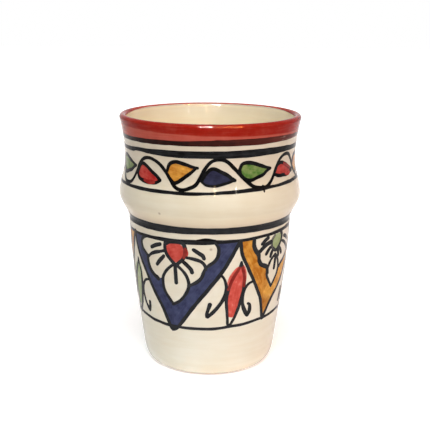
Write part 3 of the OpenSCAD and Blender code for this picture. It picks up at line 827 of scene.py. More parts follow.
# How far the red goes over the lip, as a share of its half round, and how much it is paled there
# as painted reflection of the bright room on the far lip's inner side
LIP_REACH = [(-180, 0.75), (-130, 0.78), (-95, 0.95), (-60, 0.9), (60, 0.9), (95, 0.95),
             (130, 0.78)]
FAR_LIP_SHEEN = [(-180, 1), (-140, 1), (-95, 0.1), (95, 0.1), (140, 1)]
# The red is paled from this share of the half round on, over so much of it and by so much,
# as painted reflection of the bright room on the far lip. Its salmon edge is so soft, in mm, and
# has so much colour below and above it
THIN_FROM = 0.34
THIN_OVER = 0.22
SHEEN_BY = 0.75
SALMON_SOFT = 0.5
SALMON_LOAD = 0.15
RED_LOAD = 0.95
# Raggedness of the rim band's edges in mm, and the rows of its mesh
RIM_RAGGED = 0.1
RIM_ROWS = 34
LINE_LOW = [(-180, 97.1), (-70, 97), (30, 97.05), (50, 97.4), (65, 97.7), (110, 97.3)]
LINE_HIGH = [(-180, 98.9), (-70, 98.7), (-20, 98.9), (0, 99.3), (5, 99.5), (25, 99.6),
             (45, 99.7), (70, 99.4), (120, 99)]
LINE_LOAD = [(-180, 0.6), (-50, 1), (0, 0.8), (30, 0.45), (50, 0.1), (75, 0), (120, 0.4)]
# Rings: their piece, node, how much black they were pulled with, and their lower and upper
# edge
RINGS = [
    ("ring_over_frieze", "frieze_top_ring", 0.8,
     [(-180, 92.7), (-58, 92.8), (-54, 93.3), (-47, 93.4), (-42, 93), (-20, 92.4), (20, 92.4),
      (40, 92.7), (60, 93.1), (110, 92.8)],
     [(-180, 94.9), (-70, 94.4), (-50, 94.9), (-20, 95.2), (0, 95.2), (40, 95.5), (55, 95.3),
      (65, 95), (110, 95)]),
    ("ring_under_frieze", "frieze_foot_ring", 0.8,
     [(-180, 78.8), (-70, 78.7), (-50, 78.6), (-10, 78.6), (0, 78.9), (10, 79.1), (30, 79.4),
      (45, 79.9), (60, 80.1), (75, 80.3), (120, 79.2)],
     [(-180, 79.9), (-70, 79.8), (-50, 79.9), (-10, 79.9), (0, 79.9), (10, 80.4), (30, 80.9),
      (45, 81), (60, 81.4), (75, 81.6), (120, 80.3)]),
    ("ring_on_shoulder", "shoulder_ring", 0.55,
     [(-180, 62.7), (-60, 62.6), (-35, 62.5), (0, 62.8), (35, 62.6), (60, 62.5)],
     [(-180, 65.5), (-60, 66), (-30, 65.7), (0, 65.5), (60, 65.8)]),
    ("ring_over_panel", "panel_top_ring", 0.7,
     [(-180, 58.9), (-60, 58.8), (-38, 58.8), (-24, 58.5), (-4, 58.5), (8, 59), (20, 59.2),
      (45, 59.7), (65, 60), (110, 59.2)],
     [(-180, 60.2), (-60, 60), (-30, 60.3), (-5, 60.6), (20, 60.4), (40, 60.9), (55, 61.3),
      (70, 61.6), (110, 60.6)]),
    ("ring_under_panel", "panel_foot_ring", 0.4,
     [(-180, 22.1), (-75, 23.5), (-60, 23), (-45, 22.3), (-30, 21.8), (0, 21.8), (20, 22.6),
      (45, 23.4), (65, 24), (110, 22.5)],
     [(-180, 23.2), (-75, 24.8), (-60, 24.4), (-45, 23.6), (-30, 23.1), (0, 23.1), (20, 23.9),
      (45, 24.7), (65, 25.3), (110, 23.8)]),
]
# A drip under one ring and a second touch of the brush on another, with their widths
RING_STROKES = {
    "ring_under_frieze": [([(33.8, 81), (34.2, 80), (34.4, 79)], (0.8, 0.7, 0.5))],
    "ring_over_panel": [([(-8, 60.4), (-2, 60.75), (4, 60.4)], (0.4, 0.8, 0.4))],
}

# The vine over the front, and the leaves' places: where each begins round the cup
VINE_FRONT = [(-76, 86.2), (-71, 82.5), (-67, 80.7), (-62, 80.2), (-58, 81), (-55.5, 83),
              (-53, 86), (-50.7, 88.4), (-46.5, 90.7), (-41.3, 91.4), (-36.4, 90.7), (-31.6, 88.9),
              (-28, 86.5), (-25, 84), (-21.5, 81.5), (-17.5, 80.5), (-13, 81), (-8.5, 82.5),
              (-5.5, 85.5), (-3.5, 88), (0, 90.8), (3.5, 91.9), (8, 91.9), (11.5, 90.7),
              (15, 88.5), (19, 86), (23, 83.4), (27, 81.4), (31, 80.6), (36, 80.6), (39.3, 81.6),
              (43.2, 84), (45.8, 86.8), (48.8, 89.6), (52.7, 91.5), (57.5, 92), (61.5, 91.1),
              (65, 88.9), (68, 86.2)]
LEAF_STARTS = [-76, -52, -27.5, -5, 18.5, 44, 68]
LEAF_COUNT = 16
# How far the vine swings from the frieze's middle, and its points in each leaf's place
VINE_REACH = 5.7
VINE_STEPS = 8
VINE_WIDTHS = (0.94, 0.98, 0.94)
VINE_LOAD = (1, 1)

# Leaves as drawn on the front: where their place begins and how wide it is, and their upper and
# lower edge
LEAF_GREEN = (18.5, 25.5,
              [(18.3, 88), (20, 90), (23.5, 90.5), (28, 90), (34, 88.7), (41, 87.4)],
              [(18.5, 88), (19, 86), (22, 84.3), (26, 83.7), (31, 84.6), (35, 85.3),
               (38, 86.6), (41, 87.4)])
LEAF_OCHRE = (-27.5, 22.5,
              [(-27.3, 87.3), (-25.5, 89.8), (-21.5, 90.9), (-16, 90.2), (-11, 89.2),
               (-7.5, 88.8)],
              [(-25.6, 84.6), (-22, 82.8), (-17.5, 84.2), (-13, 86.3), (-9, 88.4)])
LEAF_RED = (-52, 24.5,
            [(-52, 84.5), (-51, 87), (-48, 88.9), (-44, 88.2), (-39, 86.2), (-35, 84.8),
             (-32, 83.3)],
            [(-51.5, 84), (-49.5, 82.9), (-45, 82.3), (-39.5, 82), (-35, 82.2), (-32, 83.2)])
LEAF_BLUE = (-5, 23.5,
             [(-5, 84), (-3.2, 86), (-0.2, 88.2), (3, 88.5), (7, 87.3), (11, 86), (13, 85),
              (15.3, 84)],
             [(-4.7, 83.5), (-2, 82.4), (3, 82.1), (6, 82.4), (10, 83), (15.3, 84)])
LEAF_RED_SMALL = (44, 24,
                  [(45.6, 86), (47.6, 88.2), (51.3, 88.9), (55.3, 88.2), (59.5, 87),
                   (63, 85.9), (66.3, 85)],
                  [(45.6, 84.6), (48.5, 84), (53.2, 83.8), (58, 83.7), (62.5, 84.2),
                   (66.3, 84.8)])
LEAF_DRAWINGS = [LEAF_GREEN, LEAF_RED, LEAF_OCHRE, LEAF_BLUE, LEAF_GREEN, LEAF_RED_SMALL,
                 LEAF_OCHRE, LEAF_BLUE]
# The leaves' nodes in their order round the cup: the paint, how much of it lies in a leaf's
# middle, and the widths of its upper and its lower edge
LEAVES = {"leaves_green": ("green", 0.5, (0.9, 1.05, 0.75), (0.9, 1, 0.8)),
          "leaves_red": ("red", 0.7, (0.9, 1, 0.9), (0.9, 1, 0.8)),
          "leaves_ochre": ("ochre", 0.63, (0.9, 1.05, 0.75), (0.9, 1, 0.8)),
          "leaves_blue": ("ink blue", 0.45, (0.9, 1, 0.9), (0.6, 0.7, 0.7))}
# How fills were brushed: the slant of the marks in degrees, and how much colour lies in the
# middle and at the edge
LEAF_MARKS = {"slant": -12, "edge": 0.95}
DISC_MARKS = {"slant": 20, "load": 0.35}
LANCE_MARKS = {"slant": 80, "load": 0.2, "edge": -0.15}
# How much red lies at the start and the end of a spill over a leaf's edge, and of a watery one
LEAF_SPILL_LOAD = (0.9, 0.8)
SPILL_LOAD = (0.6, 0.5)
# Where red ran over a leaf's edge: its points, and how much the black under it dulls it
LEAF_SPILLS = [([(-44.5, 82.6), (-40.5, 82.1), (-36.5, 82.3)], 0.3),
               ([(56.5, 84.2), (59.5, 83.7), (62.3, 84.1)], 0),
               ([(54.5, 88.3), (59.5, 87), (63.5, 85.9)], 0.45)]

# How much black lies at the start and the end of the panel's lines, which are thinner
PANEL_LOAD = (0.55, 0.42)
# Widths of a chevron's sides, of the line round a disc and of the petals' veins
CHEVRON_WIDTHS = {"left": (1, 1.05, 1.1), "right": (1.05, 1.1, 1.05)}
DISC_WIDTHS = (1.05, 1.05, 1.2)
VEIN_WIDTHS = (1, 1.2, 1.1)

# The blue chevron of the front and the ochre one beside it: the middle and the half width that
# they are drawn at, their sides and what they hold, the widths of petal lines that aren't full,
# how much colour lies left and right of the tip, and how brown it is near the tip. The ochre is
# watery on its right side, and its disc has a faint line on the left
BLUE_DRAWING = {
    "middle": -21.5,
    "half": 41.75,
    "left": [(-62.3, 59.6), (-60.5, 53), (-50, 42.6), (-43.3, 36.1), (-36.7, 30.1), (-30.8, 22.5),
             (-28.8, 20.9)],
    "right": [(20.7, 59.6), (10, 48.3), (0, 40.4), (-10, 33), (-19.3, 25.8), (-24.3, 22.2),
              (-27.6, 21)],
    "petals": {
        "lobe_top_left": [(-46.8, 59.4), (-51.5, 58.3), (-53.7, 56.5), (-53.2, 54), (-50.5, 52.5),
                          (-47.3, 51.2)],
        "lobe_low_left": [(-47.3, 51.2), (-47.5, 48.5), (-45.5, 45.5), (-42, 43.5), (-39.8, 42.9),
                          (-38.6, 42.3)],
        "drop_left": [(-24, 50), (-28, 48.3), (-31.5, 46.2), (-34, 43.5), (-34.3, 40.5),
                      (-33, 37.5), (-30, 35), (-27, 32.8)],
        "drop_right": [(-27, 32.4), (-22, 34), (-18, 36.5), (-15, 39.5), (-14.2, 42), (-15.5, 45),
                       (-18.5, 47.5), (-22.5, 49.5)],
        "lobe_low_right": [(-2.2, 49.3), (-4, 47), (-5.3, 45), (-8, 43.2), (-12, 41.8),
                           (-14.5, 41.2)],
        "lobe_top_right": [(3.6, 59.4), (5.8, 57.5), (6.1, 55.5), (5.2, 53.3), (2.8, 51.5),
                           (0, 50.3), (-2.2, 49.3)],
        "split_left": [(-46.8, 50.8), (-44, 52.3), (-40, 53.4), (-36, 54.1), (-32.3, 54.8)],
        "split_right": [(-17, 53.2), (-11, 52.7), (-6, 51.8), (-3.3, 50.3), (-2.3, 48.5)],
    },
    "veins": [
        [(-43, 55.3), (-39, 56.5), (-35, 57.3)],
        [(-38.8, 48.5), (-35.5, 50.7), (-32.5, 52.5)],
        [(-23.8, 49.5), (-23.7, 46), (-23.5, 42)],
        [(-10.5, 56.5), (-7.5, 55.3), (-4.5, 54.2), (-3.5, 53)],
        [(-18, 51.3), (-15, 49.8), (-12.5, 48.3), (-11.8, 47)],
    ],
    "disc_fill": [(-28.3, 58.3), (-30.2, 56.4), (-29.3, 54.3), (-26.8, 52.3), (-23.3, 50.7),
                  (-20.7, 51.7), (-18.1, 53.3), (-17.1, 55.3), (-17.6, 57), (-20, 58.4),
                  (-25, 58.9)],
    "disc": [
        ([(-30.3, 59.4), (-31.1, 56.3), (-30.1, 53.9), (-27.5, 51.8), (-24.2, 50), (-23, 49.6),
          (-20.5, 50.8), (-17.6, 52.6), (-16.2, 55), (-16.3, 57), (-18, 58.8), (-22, 59.2),
          (-27, 59), (-30, 58.2)], DISC_WIDTHS, PANEL_LOAD),
    ],
    "widths": {"drop_left": EVEN, "drop_right": EVEN, "lobe_low_left": (1, 1.1, 1.25)},
    "loads": (0.65, 0.6),
    "brown": 0,
}
OCHRE_DRAWING = {
    "middle": 55.5,
    "half": 35.25,
    "left": [(21, 59.6), (22.5, 54), (27, 48.5), (32, 43), (37, 37.5), (40.5, 33.5), (43, 28.5),
             (44.7, 23.9)],
    "right": [(90.5, 59.6), (82, 51.5), (72, 43.3), (68.3, 40), (62.3, 36), (54.5, 32), (48.5, 27),
              (45.7, 23.9)],
    "petals": {
        "lobe_top_left": [(31, 59.6), (31.2, 57), (32.8, 54.8), (35.4, 52.8), (36.2, 50.3)],
        "lobe_low_left": [(36.2, 50.3), (38.3, 48.4), (41.7, 47.4), (44.4, 46.4), (45.4, 43.8)],
        "drop_left": [(52.5, 51), (48, 49), (45.5, 46), (45, 43), (48, 40), (51.5, 37.3)],
        "drop_right": [(51.5, 37.3), (54.7, 39.7), (57.8, 42.4), (58.6, 45.3), (56.4, 48.8),
                       (53, 51)],
        "lobe_low_right": [(75, 50), (71, 48.2), (66.5, 46.8), (62, 45.6), (60.3, 44.6)],
        "lobe_top_right": [(79.5, 59.6), (80.5, 56.5), (79, 53), (75, 50)],
        "split_left": [(36.5, 54), (41, 56), (46.5, 57)],
        "split_right": [(60, 56), (67, 54), (73.5, 50.8)],
    },
    "veins": [
        [(38, 57), (41, 58.3), (43.5, 59)],
        [(42.5, 52.3), (44.3, 53.6), (46, 54.5)],
        [(53.5, 50), (53.3, 47.5), (53, 45)],
        [(57, 53.5), (59.5, 52.2), (61.5, 50.5)],
        [(64, 57.5), (68, 56.6), (71.5, 55.3)],
        [(50, 53.8), (48.3, 52.4), (47.3, 50.8)],
        [(55.3, 53), (56.6, 51.4), (57.2, 50)],
    ],
    "disc_fill": [(48.6, 57.8), (50.2, 59.3), (55.8, 59.6), (58.8, 58.3), (59, 56), (56.8, 54),
                  (53.2, 52.9), (49.8, 54), (48.3, 56)],
    "disc": [
        ([(51.5, 53), (53.5, 52.7), (56.6, 54), (59.6, 56.4), (59.9, 58.6),
          (58.4, 59.8)], DISC_WIDTHS, PANEL_LOAD),
        ([(50.5, 59.3), (48, 57.9), (47.6, 55.6), (49.3, 53.7), (51.5, 53)], THIN, (-0.15, 0.1)),
    ],
    "widths": {"drop_left": EVEN, "drop_right": EVEN, "lobe_top_left": HEAVY,
               "lobe_low_left": HEAVY, "split_left": HEAVY},
    "loads": (0.65, 0.15),
    "brown": 0.5,
}
# The load changes over so many mm at the tip, and the brown lies so far from it, within a reach
TIP_SOFT = 4
BROWN_FROM_TIP = 7
BROWN_REACH = 5
# Slant of the brush marks in each side of a chevron, in degrees
LEFT_SLANT = -62
RIGHT_SLANT = 53

# Along a chevron's inner edge, the first points of the drop's right line stand free of the
# colour, and only the first of its left line touch it
DROP_RIGHT_FREE = 3
DROP_LEFT_TOUCH = 5
# Where red ran out of the blue one's disc: over the glaze and over the line, and how much it
# dulls there
DISC_SPILLS = [("fill", [(-15.4, 56), (-15.1, 54.8), (-15.8, 53.5)], 0),
               ("line", [(-16.2, 56.6), (-16, 55.2), (-17.3, 52.9)], 0.55)]

# Chevrons round the cup: their drawing, middle and half width, and the nodes that they fill. The
# first two stand where they were drawn
CHEVRONS = [
    (BLUE_DRAWING, -21.5, 41.75, "chevrons_blue", "flower_centres_red"),
    (OCHRE_DRAWING, 55.5, 35.25, "chevrons_ochre", "flower_centres_green"),
    (BLUE_DRAWING, 125, 34.25, "chevron_green", "flower_centre_ochre"),
    (BLUE_DRAWING, 193.5, 34.25, "chevrons_blue", "flower_centres_red"),
    (BLUE_DRAWING, 262.25, 34.5, "chevrons_ochre", "flower_centres_green"),
]
# Those nodes' pieces and paints
CHEVRON_FILLS = {"chevrons_blue": ("bands_blue", "blue"),
                 "chevrons_ochre": ("bands_ochre", "ochre"),
                 "chevron_green": ("band_green", "pale green"),
                 "flower_centres_red": ("disc_fills_red", "red"),
                 "flower_centres_green": ("disc_fills_green", "pale green"),
                 "flower_centre_ochre": ("disc_fill_ochre", "ochre")}

# What stands in the gap after a chevron, drawn about its middle: a lance's fill, its edges with
# their widths, where red bled over them and how much it dulls there, and the curls with their
# widths. In the last gap the right curls are drawn in a way of their own
GAP_MIDDLE = 18.25
LANCE_FOOT = 23.3
LANCE_FILL = [(21.3, 49.4), (17.8, 48.2), (14, 45.3), (12.2, 41.8), (12.1, 38.5), (12.6, 35),
              (13.5, 28.2), (19.8, 27.8), (23.4, 34.5), (25.6, 38.8), (26.5, 42), (26.8, 45),
              (25.6, 48), (23.4, 49.8)]
LANCE_EDGES = [
    ([(22.2, 50.8), (20.4, 47.8), (16.2, 43.8), (13.3, 39), (12.3, 35), (13.3, 29), (14.2, 24),
      (15, 23.3)], (0.7, 1, 0.8)),
    ([(22.3, 50.8), (23.3, 48), (25, 44.5), (25, 40), (23.5, 35), (20.5, 29), (16.8, 24.6),
      (15.2, 23.3)], (0.7, 1.05, 0.8)),
]
LANCE_BLEEDS = [[(20.8, 48.4), (16.2, 43.8), (13.5, 39.6)],
                [(23.2, 48.4), (25, 44.5), (25, 40.5)]]
BLEED_OVER = 0.6
LEFT_CURLS = [
    ([(7.5, 46.3), (10.5, 44), (12, 40.5), (11, 37), (8, 33.5), (3, 30),
      (-1, 28)], (0.7, 1.05, 1.1)),
    ([(-1.4, 28), (-1.5, 29.3), (-0.6, 31.4), (0.5, 33.3)], (1, 1, 1.3)),
]
RIGHT_CURLS = [
    ([(33, 42), (28.5, 41), (25.5, 38.5), (24.5, 35), (25.5, 31.5), (28, 28.5),
      (29.6, 27.4)], (0.7, 1, 1.3)),
    ([(29.8, 27.6), (31.3, 29), (31, 31.6), (29.5, 32.4)], (1.3, 1.2, 0.8)),
]
SIDE_CURLS = [
    ([(-49, 40.7), (-54, 39.5), (-57.5, 36.5), (-58, 33), (-56, 29.5), (-52, 26.5)], (0.7, 1, 1)),
    ([(-51.9, 26.6), (-51, 28.4), (-50.7, 30.4)], (1, 1.1, 1.1)),
]
# Gaps: angle of the middle, the lance's node, and its height against the front one's
GAPS = [(GAP_MIDDLE, "lances_red", 1), (88.75, "lances_green", 1), (157.25, "lances_red", 1),
        (225.75, "lance_blue", 1), (294.25, "lances_green", 0.9)]
LANCE_PAINTS = {"lances_red": "red", "lances_green": "pale green", "lance_blue": "blue"}


def moved(points, turn=0, middle=0, stretch=1):
    """A drawing turned round the cup, and stretched about its middle."""
    return [(middle + turn + (angle - middle) * stretch, z) for angle, z in points]


def lance_part(turn, points, height):
    """Some points of a lance's drawing, turned to its gap, and shrunk in height to its foot."""
    return [(angle, LANCE_FOOT + (z - LANCE_FOOT) * height) for angle, z in moved(points, turn)]


def leaf_places():
    """Where each leaf's place begins and how wide it is."""
    last = len(LEAF_STARTS) - 1
    width = (LEAF_STARTS[0] + 360 - LEAF_STARTS[last]) / (LEAF_COUNT - last)
    starts = LEAF_STARTS + [LEAF_STARTS[last] + width * i for i in range(1, LEAF_COUNT - last)]
    return list(zip(starts, [b - a for a, b in zip(starts, starts[1:] + [starts[0] + 360])]))


def leaf_edges(i):
    """The upper and lower edge of leaf i, in its place."""
    start, width = leaf_places()[i]
    drawn_start, drawn_width, upper, lower = LEAF_DRAWINGS[i % len(LEAF_DRAWINGS)]
    stretch = width / drawn_width
    return [moved(edge, start - drawn_start, drawn_start, stretch) for edge in (upper, lower)]


def vine_points():
    """The vine's middle, from the first leaf's place once round the cup."""
    middle = (FRIEZE_FOOT + FRIEZE_TOP) / 2
    points = list(VINE_FRONT)
    for i, (start, width) in enumerate(leaf_places()):
        if start >= VINE_FRONT[-1][0]:
            for share in [k / VINE_STEPS for k in range(1, VINE_STEPS + 1)]:
                swing = math.sin(math.pi * (share + i % 2))
                points.append((start + width * share, middle - VINE_REACH * swing))
    return points


def chevron_part(i, points):
    """Some points of a chevron's drawing, at chevron i's place."""
    drawing, middle, half = CHEVRONS[i][:3]
    return moved(points, middle - drawing["middle"], drawing["middle"], half / drawing["half"])


def chevron_outline(layer, i):
    """The coloured V of chevron i: out to its edges and in to its petals."""
    drawing = CHEVRONS[i][0]
    petals = drawing["petals"]
    path = [drawing["left"], drawing["right"][::-1], petals["lobe_top_right"],
            petals["lobe_low_right"], petals["drop_right"][::-1][DROP_RIGHT_FREE:],
            petals["drop_left"][::-1][:DROP_LEFT_TOUCH], petals["lobe_low_left"][::-1],
            petals["lobe_top_left"][::-1]]
    return [p for part in path for p in layer.curve(chevron_part(i, part), OUTLINE_STEP)]


class ThrowClay(bpy.types.Operator):
    """Throw the clay body: wall, floor and turned foot ring"""
    bl_idname = "tumbler.throw_clay"
    bl_label = "Clay body"

    def execute(self, context):
        cup = Cup(context.scene.tumbler_cup)
        hollow, depth = cup.foot_r - cup.foot_ring, cup.foot_hollow
        foot = [(HOLLOW_MIDDLE, depth), (hollow / 2, depth), (hollow, depth),
                (hollow + depth * HOLLOW_FLARE, HOLLOW_EDGE), (hollow + depth, 0)]
        lathe("biscuit_body", foot + cup.outline(0, -cup.glaze), cup,
              clay_material(context.scene.tumbler_colours), "biscuit_clay", "clay_body")
        return {"FINISHED"}


class DipGlaze(bpy.types.Operator):
    """Dip the cup in white glaze, inside and out, down to the foot"""
    bl_idname = "tumbler.dip_glaze"
    bl_label = "White glaze"

    def execute(self, context):
        cup = Cup(context.scene.tumbler_cup)
        profile = cup.outline(GLAZE_FOOT, -cup.glaze)[::-1] + cup.outline(GLAZE_FOOT)
        specks = [cup.skin(angle, z) for angle, z in SPECKS]
        lathe("glaze_coat", profile, cup,
              glaze_material(context.scene.tumbler_colours, specks), "white_glaze",
              "white_glaze")
        return {"FINISHED"}


class PaintRim(bpy.types.Operator):
    """Pull the red band over the lip, and the brown line under it"""
    bl_idname = "tumbler.paint_rim"
    bl_label = "Rim band"

    def execute(self, context):
        cup = Cup(context.scene.tumbler_cup)
        half_round = math.pi * cup.lip_r
        ends = [(angle, cup.lip_z + share * half_round) for angle, share in LIP_REACH]

        def over_lip(p, out):
            """Point of the outside, or past the lip's start of its half round."""
            angle, z = p
            if z <= cup.lip_z:
                return cup.skin(angle, z, out)
            return cup.turned(cup.lip((z - cup.lip_z) / half_round, out), angle)

        def load(angle, z):
            """Twice gone over above the salmon's edge, once below it, and paled on the far lip's
            inner side as painted reflection of the bright room."""
            above = ease(clamp((z - around(SALMON_EDGE, angle)) / SALMON_SOFT))
            inside = ease(clamp(((z - cup.lip_z) / half_round - THIN_FROM) / THIN_OVER))
            return blend(SALMON_LOAD, RED_LOAD, above) - SHEEN_BY * inside * around(FAR_LIP_SHEEN, angle)

        band = Layer(context, "fill")
        band.band(BAND_LOW, ends, load, RIM_RAGGED, RIM_ROWS, over_lip)
        band.piece("rim_band", "rim red", "rim_band_red")
        line = Layer(context, "line")
        line.band(LINE_LOW, LINE_HIGH, lambda angle, z: around(LINE_LOAD, angle))
        line.piece("rim_line", "brown", "rim_line_brown")
        return {"FINISHED"}


class PullRings(bpy.types.Operator):
    """Pull the five black rings on the wheel"""
    bl_idname = "tumbler.pull_rings"
    bl_label = "Black rings"

    def execute(self, context):
        for name, node_name, load, low, high in RINGS:
            layer = Layer(context, "line")
            layer.band(low, high, lambda angle, z: load)
            for points, widths in RING_STROKES.get(name, []):
                layer.stroke(points, widths)
            layer.piece(name, "black", node_name)
        return {"FINISHED"}


class PaintFrieze(bpy.types.Operator):
    """Paint the vine, and the leaves in their four colours"""
    bl_idname = "tumbler.paint_frieze"
    bl_label = "Frieze of leaves"

    def execute(self, context):
        vine = Layer(context, "line")
        vine.stroke(vine_points(), VINE_WIDTHS, VINE_LOAD)
        vine.piece("vine", "black", "vine_line")

        outlines = Layer(context, "line", CROSS_LIFT)
        for i in range(LEAF_COUNT):
            edge_widths = list(LEAVES.values())[i % len(LEAVES)][2:]
            for edge, widths in zip(leaf_edges(i), edge_widths):
                outlines.stroke(edge, widths)
        outlines.piece("leaf_edges", "black", "leaf_outlines")

        for k, (node_name, (paint, load, *_)) in enumerate(LEAVES.items()):
            layer = Layer(context, "fill")
            for i in range(k, LEAF_COUNT, len(LEAVES)):
                upper, lower = [layer.curve(edge, OUTLINE_STEP) for edge in leaf_edges(i)]
                layer.fill(upper + lower[::-1], load=load, **LEAF_MARKS)
            if node_name == "leaves_red":
                layer.lift = layer.lifts["line"] + SPILL_LIFT
                for line, over in LEAF_SPILLS:
                    layer.stroke(line, THIN, LEAF_SPILL_LOAD, over)
            layer.piece(node_name.replace("leaves_", "leaf_fills_"), paint, node_name)
        return {"FINISHED"}


class PaintChevrons(bpy.types.Operator):
    """Paint the chevrons, with the flowers in them"""
    bl_idname = "tumbler.paint_chevrons"
    bl_label = "Chevrons and flowers"

    def execute(self, context):
        layers = {node_name: Layer(context, "fill") for node_name in CHEVRON_FILLS}
        outlines, petals, veins = [Layer(context, "line") for _ in range(3)]
        for i, (drawing, _, _, band_node, disc_node) in enumerate(CHEVRONS):
            tip = outlines.unrolled(chevron_part(i, drawing["left"])[-1])
            load_left, load_right = drawing["loads"]
            layers[band_node].fill(
                chevron_outline(outlines, i),
                load=lambda p: blend(load_left, load_right, ease(clamp((p.x - tip.x) / TIP_SOFT))),
                slant=lambda p: RIGHT_SLANT if p.x > tip.x else LEFT_SLANT,
                over=lambda p: drawing["brown"] * ease(
                    max(0, 1 - abs((p - tip).length - BROWN_FROM_TIP) / BROWN_REACH)))
            disc = drawing["disc_fill"] + drawing["disc_fill"][:1]
            layers[disc_node].fill(outlines.curve(chevron_part(i, disc), DISC_STEP), **DISC_MARKS)
            for side, widths in CHEVRON_WIDTHS.items():
                outlines.stroke(chevron_part(i, drawing[side]), widths, PANEL_LOAD)
            for name, line in drawing["petals"].items():
                widths = drawing["widths"].get(name, FULL)
                petals.stroke(chevron_part(i, line), widths, PANEL_LOAD)
            for points, widths, load in drawing["disc"]:
                petals.stroke(chevron_part(i, points), widths, load)
            for line in drawing["veins"]:
                veins.stroke(chevron_part(i, line), VEIN_WIDTHS, PANEL_LOAD)
        red = layers["flower_centres_red"]
        for lift, line, over in DISC_SPILLS:
            red.lift = red.lifts[lift] + SPILL_LIFT
            for i, chevron in enumerate(CHEVRONS):
                if chevron[4] == "flower_centres_red":
                    red.stroke(chevron_part(i, line), THIN, SPILL_LOAD, over)
        for node_name, (name, paint) in CHEVRON_FILLS.items():
            layers[node_name].piece(name, paint, node_name)
        outlines.piece("band_edges", "black", "chevron_outlines")
        petals.piece("petal_edges", "black", "petal_outlines")
        veins.piece("petal_strokes", "black", "petal_veins")
        return {"FINISHED"}


class PaintLances(bpy.types.Operator):
    """Paint the lances and the curls that stand between the chevrons"""
    bl_idname = "tumbler.paint_lances"
    bl_label = "Lances and curls"

    def execute(self, context):
        layers = {node_name: Layer(context, "fill") for node_name in LANCE_PAINTS}
        edges = Layer(context, "line")
        curls = Layer(context, "line", CROSS_LIFT)
        for i, (middle, node_name, height) in enumerate(GAPS):
            turn = middle - GAP_MIDDLE
            fill = layers[node_name]
            outline = lance_part(turn, LANCE_FILL + LANCE_FILL[:1], height)
            fill.fill(fill.curve(outline, OUTLINE_STEP), **LANCE_MARKS)
            for points, widths in LANCE_EDGES:
                edges.stroke(lance_part(turn, points, height), widths, PANEL_LOAD)
            both_sides = i < len(GAPS) - 1
            for points, widths in LEFT_CURLS + (RIGHT_CURLS if both_sides else []):
                curls.stroke(moved(points, turn), widths, PANEL_LOAD)
        for points, widths in SIDE_CURLS:
            curls.stroke(points, widths, PANEL_LOAD)
        # Watery red ran over the black lines, and dulls there
        red = layers["lances_red"]
        red.lift = red.lifts["line"] + SPILL_LIFT
        for middle, node_name, _ in GAPS:
            if node_name == "lances_red":
                for line in LANCE_BLEEDS:
                    red.stroke(moved(line, middle - GAP_MIDDLE), THIN, SPILL_LOAD, BLEED_OVER)
        for node_name, paint in LANCE_PAINTS.items():
            layers[node_name].piece(node_name.replace("lance", "lance_fill"), paint, node_name)
        edges.piece("lance_edges", "black", "lance_outlines")
        curls.piece("curl_strokes", "black", "curls")
        return {"FINISHED"}


def area_lamp(name, place, target, width, height, power, hex_colour):
    """A soft box that faces the target."""
    light = bpy.data.lights.new(name, "AREA")
    light.shape = "RECTANGLE"
    light.size = width * MM
    light.size_y = height * MM
    light.energy = power
    light.color = linear(hex_colour)
    lamp = bpy.data.objects.new(name, light)
    lamp.location = Vector(place) * MM
    way = (Vector(target) - Vector(place)).normalized()
    lamp.rotation_euler = way.to_track_quat("-Z", "Y").to_euler()
    bpy.context.scene.collection.objects.link(lamp)
    return lamp


# Soft boxes: place, the point that they face, width and height in mm, power in watts, colour
SOFT_BOXES = [("key_softbox", (170, -640, 330), (0, 0, 40), 650, 650, 2.65, "#ffffff"),
              ("top_softbox", (0, -200, 900), (0, 0, 60), 500, 500, 4.9, "#ffffff"),
              ("right_softbox", (620, -250, 260), (0, 0, 60), 300, 300, 0.25, "#ff9a3c")]
# Lit panels that show only in the gloss, the same way: dashes on the lip and inside it, a warm
# streak on the right of the lip, and specks of light on the collar
LIP = (0, 0, 100)
GLINTS = [("left_panel", (-130, -480, 620), LIP, 60, 100, 26, "#fffdf8"),
          ("middle_panel", (-62, -490, 620), LIP, 60, 100, 26, "#fffdf8"),
          ("right_panel", (22, -490, 620), LIP, 60, 80, 16, "#fffdf8"),
          ("warm_panel", (245, -455, 560), LIP, 360, 60, 70, "#ffa048"),
          ("low_panel", (77, -715, 320), LIP, 20, 70, 0.36, "#ffdca8"),
          ("far_low_panel", (415, -640, 330), LIP, 18, 50, 0.2, "#fff4e0"),
          ("left_low_panel", (-150, -700, 370), LIP, 60, 60, 0.17, "#fffdf8"),
          ("side_panel", (650, -60, 330), LIP, 30, 40, 0.3, "#ffe2b8")]
# The room that lights the cup from all round, cooler on its left and warmer on its right, and
# how bright it is where the camera and the gloss don't see it as white
ROOM_LEFT = "#ffffff"
ROOM_RIGHT = "#ff9434"
ROOM_LIGHT = 0.22
# How far to the right a direction points where the room is warmest
WARMEST = 0.55
# Nearest that the camera sees, in metres
CLIP_START = 0.01


